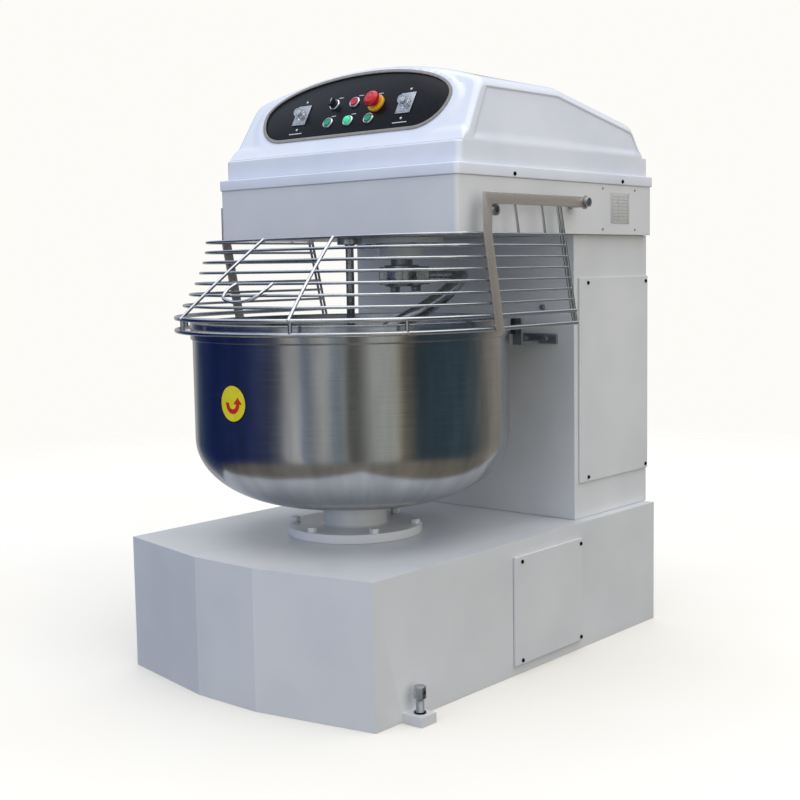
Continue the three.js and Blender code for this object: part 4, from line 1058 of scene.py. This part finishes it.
def make_panel():
    plate = moved(soften(slab("panel_sheet", panel_outline(-0.6), -3, -0.05), 0.3), TO_PANEL)
    shown(plate, LAMINATE, ROOT, "control_panel", slot="panel_black")
    edging = slab("panel_edging", panel_outline(4.5), 0.3, 3)
    combined(edging, slab("edging_hole", panel_outline(-4), -1, 4), "DIFFERENCE")
    soften(edging, 1.0, 3, 50)
    shown(moved(edging, TO_PANEL), EDGING, ROOT, "panel_trim", slot="trim")

    bezels = []
    recess, bezel, proud, c = (BUTTON[key] for key in ("recess", "bezel", "proud", "cap"))
    profile = [(recess, -3), (recess, proud - 0.8), (recess + 0.8, proud), (bezel - 2, proud),
               (bezel, proud - 2), (bezel, 0), (bezel - 1, 0), (bezel - 1, -3), (recess, -3)]
    for node in ("selector_knob", "stop_button", "start_button", "run_lamp", "jog_button"):
        bezels.append(on_panel(soften(turned("bezel", profile, steps=64), 0.4), *spot(node)))
    shown(joined("button_bezels", bezels), CHROME, ROOT)

    for node, body, material in (("stop_button", "stop_push", RED), ("start_button", "start_push", GREEN),
                                 ("jog_button", "jog_push", GREEN)):
        profile = [(0, -0.5), (c, -0.5), (c, 6.2), (c - 1.4, 7.6), (c - 2.6, 7.6), (c - 3.4, 7.0), (0, 6.8)]
        cap = on_panel(soften(turned(f"{node}_cap", profile, steps=64), 0.3, 2), *spot(node))
        shown(cap, material, body, node, slot=slot_of(node))
    turns = [math.pi * i / 16 for i in range(1, 8)]
    dome = [(c * math.cos(a), 6.5 + 6.5 * math.sin(a)) for a in turns]
    lens = turned("run_lamp_lens", [(0, -4.7), (c, -4.7), (c, 6.5), *dome, (0, 13)], steps=64)
    shown(on_panel(lens, *spot("run_lamp")), LENS, ROOT, "run_lamp", slot="lamp")

    x, h = spot("selector_knob")
    base = soften(turned("selector_base", [(0, -4.7), (c, -4.7), (c, 7), (c - 1, 8), (0, 8)], steps=48), 0.4)
    grip = soften(brick("selector_grip", (-4.2, -10, 6), (4.2, 10, 19)), 1.2, 3)
    combined(base, grip, "UNION")
    base.name = "selector_handle"
    shown(on_panel(tidy(base), x, h), BLACK_ABS, "selector_turn", "selector_knob", slot="panel_black")
    mark = soften(brick("selector_mark", (-0.9, -1, 18.7), (0.9, 9.2, 19.15)), 0.1)
    shown(on_panel(mark, x, h), WHITE_INK, "selector_turn")

    x, h = spot("estop_button")
    profile = [(9.8, -3), (12, -3), (12, 0.3), (23, 0.3), (23, 6), (21.5, 8), (9.8, 8), (9.8, -3)]
    collar = turned("estop_ring", profile, steps=72)
    shown(on_panel(soften(collar, 0.5), x, h), YELLOW, ROOT, "estop_collar", slot="yellow")
    profile = [(0, -1), (9.2, -1), (9.2, 14.5), (16, 15), (18.6, 16.2), (20, 18.5), (20, 24.5), (19.2, 27),
               (17, 29.3), (13.5, 31), (10, 31.6), (9, 31.2), (7.5, 31.4), (4, 32.6), (0, 33)]
    mushroom = on_panel(soften(turned("estop_mushroom", profile, steps=72), 0.4, 2, 40), x, h)
    shown(mushroom, RED, "estop_push", "estop_button", slot="red")

    for label in ("left", "right"):
        node = f"timer_{label}"
        x, h = spot(f"timer_knob_{label}")
        face = soften(brick(f"timer_face_{label}", (-22.5, -29, 0.3), (22.5, 29, 3)), 0.8, 3)
        shown(on_panel(face, x, h), ALUMINIUM, ROOT, node, slot="aluminium")
        ticks = []
        for i in range(11):
            angle = math.radians(240 - 30 * i)
            tick = brick("tick", (-0.4, 17.2, 2.9), (0.4, 20.2, 3.15))
            ticks.append(moved(tick, Matrix.Rotation(angle - math.pi / 2, 4, "Z")))
        for px, py in ((-18.5, 25), (18.5, 25), (-18.5, -25), (18.5, -25)):
            ticks.append(moved(turned("mark", [(0, 2.9), (1.5, 2.9), (1.5, 3.15), (0, 3.15)], steps=20),
                               Matrix.Translation(Vector((px, py, 0)) * MM)))
        ticks.append(brick("scale_line", (-9, -24.4, 2.9), (9, -23.4, 3.15)))
        shown(on_panel(joined(f"timer_scale_{label}", ticks), x, h), BLACK_ABS, ROOT)
        profile = [(0, 3.3), (15, 3.3), (15, 9.2), (14.2, 10), (12, 10.6), (11.6, 20.5), (10.2, 22.3),
                   (0, 22.3)]
        knob = soften(turned(f"timer_dial_{label}_cap", profile, steps=64), 0.5, 2)
        shown(on_panel(knob, x, h), ACRYLIC, f"timer_dial_{label}", f"timer_knob_{label}", slot="clear")
        core = turned(f"timer_core_{label}", [(0, 3.5), (6, 3.5), (6, 17), (0, 17)], steps=32)
        shown(on_panel(soften(core, 0.5), x, h), CHROME, f"timer_dial_{label}")
        pointer = soften(brick(f"timer_pointer_{label}", (-0.7, 3, 22.2), (0.7, 9.8, 22.5)), 0.1)
        shown(on_panel(pointer, x, h), BLACK_ABS, f"timer_dial_{label}")
        screws = []
        for up in (41, -41):
            dome = turned("panel_screw", [(0, 0), *arc((0, -1.5), 3.6, 25, 90, 5)], steps=24)
            screws.append(on_panel(dome, x, h + up))
        shown(joined(f"timer_screws_{label}", screws), WHITE_INK, ROOT)

    strokes = [(-172, 66, 44, 2.2), (172, 66, 44, 2.2)]
    beside = {"selector_knob": (13, 20), "stop_button": (13, 20), "estop_button": (2, 30),
              "start_button": (10, 20), "run_lamp": (10, 20), "jog_button": (10, 20)}
    for node, (across, up) in beside.items():
        x, h = spot(node)
        strokes.append((x + across, h + up, 15, 1.8))
    marks = []
    for x, h, w, t in strokes:
        marks.append(on_panel(brick("stroke", (-w / 2, -t / 2, -0.1), (w / 2, t / 2, 0.08)), x, h))
    shown(joined("panel_strokes", marks), WHITE_INK, ROOT)


# ---- Working parts inside ----

INSIDE = {
    MACHINED: ("bowl_shaft", "spindle_shaft"),
    CHROME: ("bowl_bearing_upper", "bowl_bearing_lower", "spindle_bearing_upper", "spindle_bearing_lower"),
    IRON: ("bowl_pulley", "bowl_motor_pulley", "spindle_pulley", "main_motor_pulley", "motor_plate",
           "base_frame"),
    RUBBER: ("bowl_belt", "spindle_belt_1", "spindle_belt_2"),
    MOTOR_PAINT: ("bowl_gearmotor", "main_motor"),
}


def make_inside():
    """Gives the hidden CAD pieces their finishes."""
    for material, nodes in INSIDE.items():
        for node in nodes:
            mesh = frame["nodes"][node].data
            mesh.materials.clear()
            mesh.materials.append(material)


# ---- Floor, light and camera ----

CAMERA = {"place": (2.1914, -2.5393, 0.9737), "yaw": 40.79, "pitch": 5.72, "roll": -0.98, "lens": 58.78}


def make_camera():
    yaw, pitch, roll = (math.radians(CAMERA[key]) for key in ("yaw", "pitch", "roll"))
    ahead = Vector((-math.sin(yaw) * math.cos(pitch), math.cos(yaw) * math.cos(pitch), -math.sin(pitch)))
    right = Vector((math.cos(yaw), math.sin(yaw), 0))
    above = right.cross(ahead)
    side = right * math.cos(roll) + above * math.sin(roll)
    top = above * math.cos(roll) - right * math.sin(roll)
    bpy.ops.object.camera_add(location=CAMERA["place"])
    camera = bpy.context.object
    camera.rotation_euler = Matrix((side, top, -ahead)).transposed().to_euler()
    camera.data.lens = CAMERA["lens"]
    scene.camera = camera


# What the polished steel mirrors round the machine, by share of a turn from -X through -Y, +X and +Y.
BAYS = [
    (0.0, "#28365f"), (0.04, "#1a2857"), (0.15, "#22305c"), (0.2, "#454c68"), (0.222, "#62676f"),
    (0.234, "#a5a5a5"), (0.262, "#cfcdcb"), (0.27, "#7a86a0"), (0.285, "#949ca3"), (0.3, "#b1b0ad"),
    (0.323, "#b6b8b4"), (0.329, "#7f8f9b"), (0.345, "#88959b"), (0.353, "#b4b5af"), (0.362, "#5b5b58"),
    (0.378, "#626360"), (0.392, "#81807a"), (0.41, "#b7bab3"), (0.45, "#bcbeb6"), (0.46, "#b7b099"),
    (0.47, "#6a6556"), (0.485, "#605b51"), (0.5, "#35464f"), (0.6, "#3d4f59"), (0.64, "#4f5a5f"),
    (0.69, "#8c867c"), (0.74, "#a39b90"), (0.8, "#a8a49d"), (0.93, "#b4b4b4"), (0.965, "#4d5a6c"),
    (1.0, "#28365f"),
]
# The paved ground in the same turn.
YARD = [
    (0.0, "#6f6a64"), (0.2, "#7f7a73"), (0.44, "#8f897f"), (0.5, "#857d71"), (0.7, "#7a7368"),
    (1.0, "#6f6a64"),
]


def ramp_of(tree, share, stops):
    """Colour ramp from a list of places and hex codes."""
    ramp = add_node(tree, "ShaderNodeValToRGB", i0=share.outputs[0])
    elements = ramp.color_ramp.elements
    elements[0].color = linear(stops[0][1])
    elements[1].color = linear(stops[-1][1])
    for place, colour in stops[1:-1]:
        elements.new(place).color = linear(colour)
    return ramp.outputs[0]


def make_floor():
    """Plain pale floor that thins out to nothing before it reaches the far side."""
    bpy.ops.mesh.primitive_circle_add(vertices=96, radius=5.0, fill_type="NGON", location=(0, 0, -0.0005))
    floor = named("floor")
    material, tree, shader, mm = new_material("pale_floor", Roughness=0.6)
    tree.links.new(shade(tree, speckle(tree, mm, 900), "#faf5ea", "#fdf9ef"), shader.inputs["Base Color"])
    reach = add_node(tree, "ShaderNodeVectorMath", {"operation": "LENGTH"}, Vector=mm).outputs["Value"]
    solid = add_node(tree, "ShaderNodeMapRange", i0=reach, i1=3200, i2=4700, i3=1.0, i4=0.0)
    tree.links.new(solid.outputs[0], shader.inputs["Alpha"])
    floor.data.materials.append(material)
    floor.visible_glossy = False
    floor.visible_diffuse = False


def make_lights():
    """Three broad soft lights: cool from the front left, warm from the right, pale from above."""
    for direction, width, power, colour in (
        ((-0.2, -0.95, 0.12), 60, 0.86, "#dce8ff"),
        ((0.97, -0.1, 0.2), 60, 1.0, "#fff5e8"),
        ((0.1, 0.1, 1.0), 80, 1.35, "#fffaf2"),
    ):
        bpy.ops.object.light_add(type="SUN", location=(0, 0, 3))
        lamp = bpy.context.object
        lamp.data.angle = math.radians(width)
        lamp.data.energy = power
        lamp.data.color = linear(colour)[:3]
        lamp.rotation_euler = Vector(direction).to_track_quat("Z", "Y").to_euler()
        lamp.visible_glossy = direction[2] == 1.0


def make_room():
    """Surroundings: tinted bays at eye level under a bluish sky, behind a pale backdrop for the camera."""
    world = bpy.data.worlds.new("studio")
    scene.world = world
    world.use_nodes = True
    tree = world.node_tree
    background = tree.nodes["Background"]
    around = add_node(tree, "ShaderNodeTexCoord").outputs["Generated"]
    way = add_node(tree, "ShaderNodeSeparateXYZ", Vector=around)
    turn = add_node(tree, "ShaderNodeMath", {"operation": "ARCTAN2"}, i0=way.outputs[1], i1=way.outputs[0])
    share = add_node(tree, "ShaderNodeMapRange", i0=turn.outputs[0], i1=-math.pi, i2=math.pi, i3=0.0, i4=1.0)
    bays = ramp_of(tree, share, BAYS)
    height = add_node(tree, "ShaderNodeMapRange", i0=way.outputs[2], i1=0.2, i2=0.5, i3=0.0, i4=1.0)
    sky = add_node(tree, "ShaderNodeMix", {"data_type": "RGBA"}, i0=height.outputs[0], i6=bays,
                   i7=[0.66, 0.72, 0.84, 1.0])
    path = add_node(tree, "ShaderNodeLightPath").outputs
    ground = ramp_of(tree, share, YARD)
    yard = add_node(tree, "ShaderNodeMix", {"data_type": "RGBA"}, i0=path["Is Diffuse Ray"], i6=ground,
                    i7=linear("#85837e"))
    low = add_node(tree, "ShaderNodeMapRange", i0=way.outputs[2], i1=-0.42, i2=-0.55, i3=0.0, i4=1.0)
    room = add_node(tree, "ShaderNodeMix", {"data_type": "RGBA"}, i0=low.outputs[0], i6=sky.outputs[2],
                    i7=yard.outputs[2])
    final = add_node(tree, "ShaderNodeMix", {"data_type": "RGBA"}, i0=path["Is Camera Ray"],
                     i6=room.outputs[2], i7=linear("#fdfcf8"))
    tree.links.new(final.outputs[2], background.inputs["Color"])


make_housings()
make_data_plate()
make_bowl()
make_bearing_housing()
make_sticker()
make_hook()
make_breaker()
make_guard()
make_rim_guide()
make_feet()
make_hood()
make_panel()
make_inside()
make_camera()
make_floor()
make_lights()
make_room()
scene.view_settings.view_transform = "Standard"
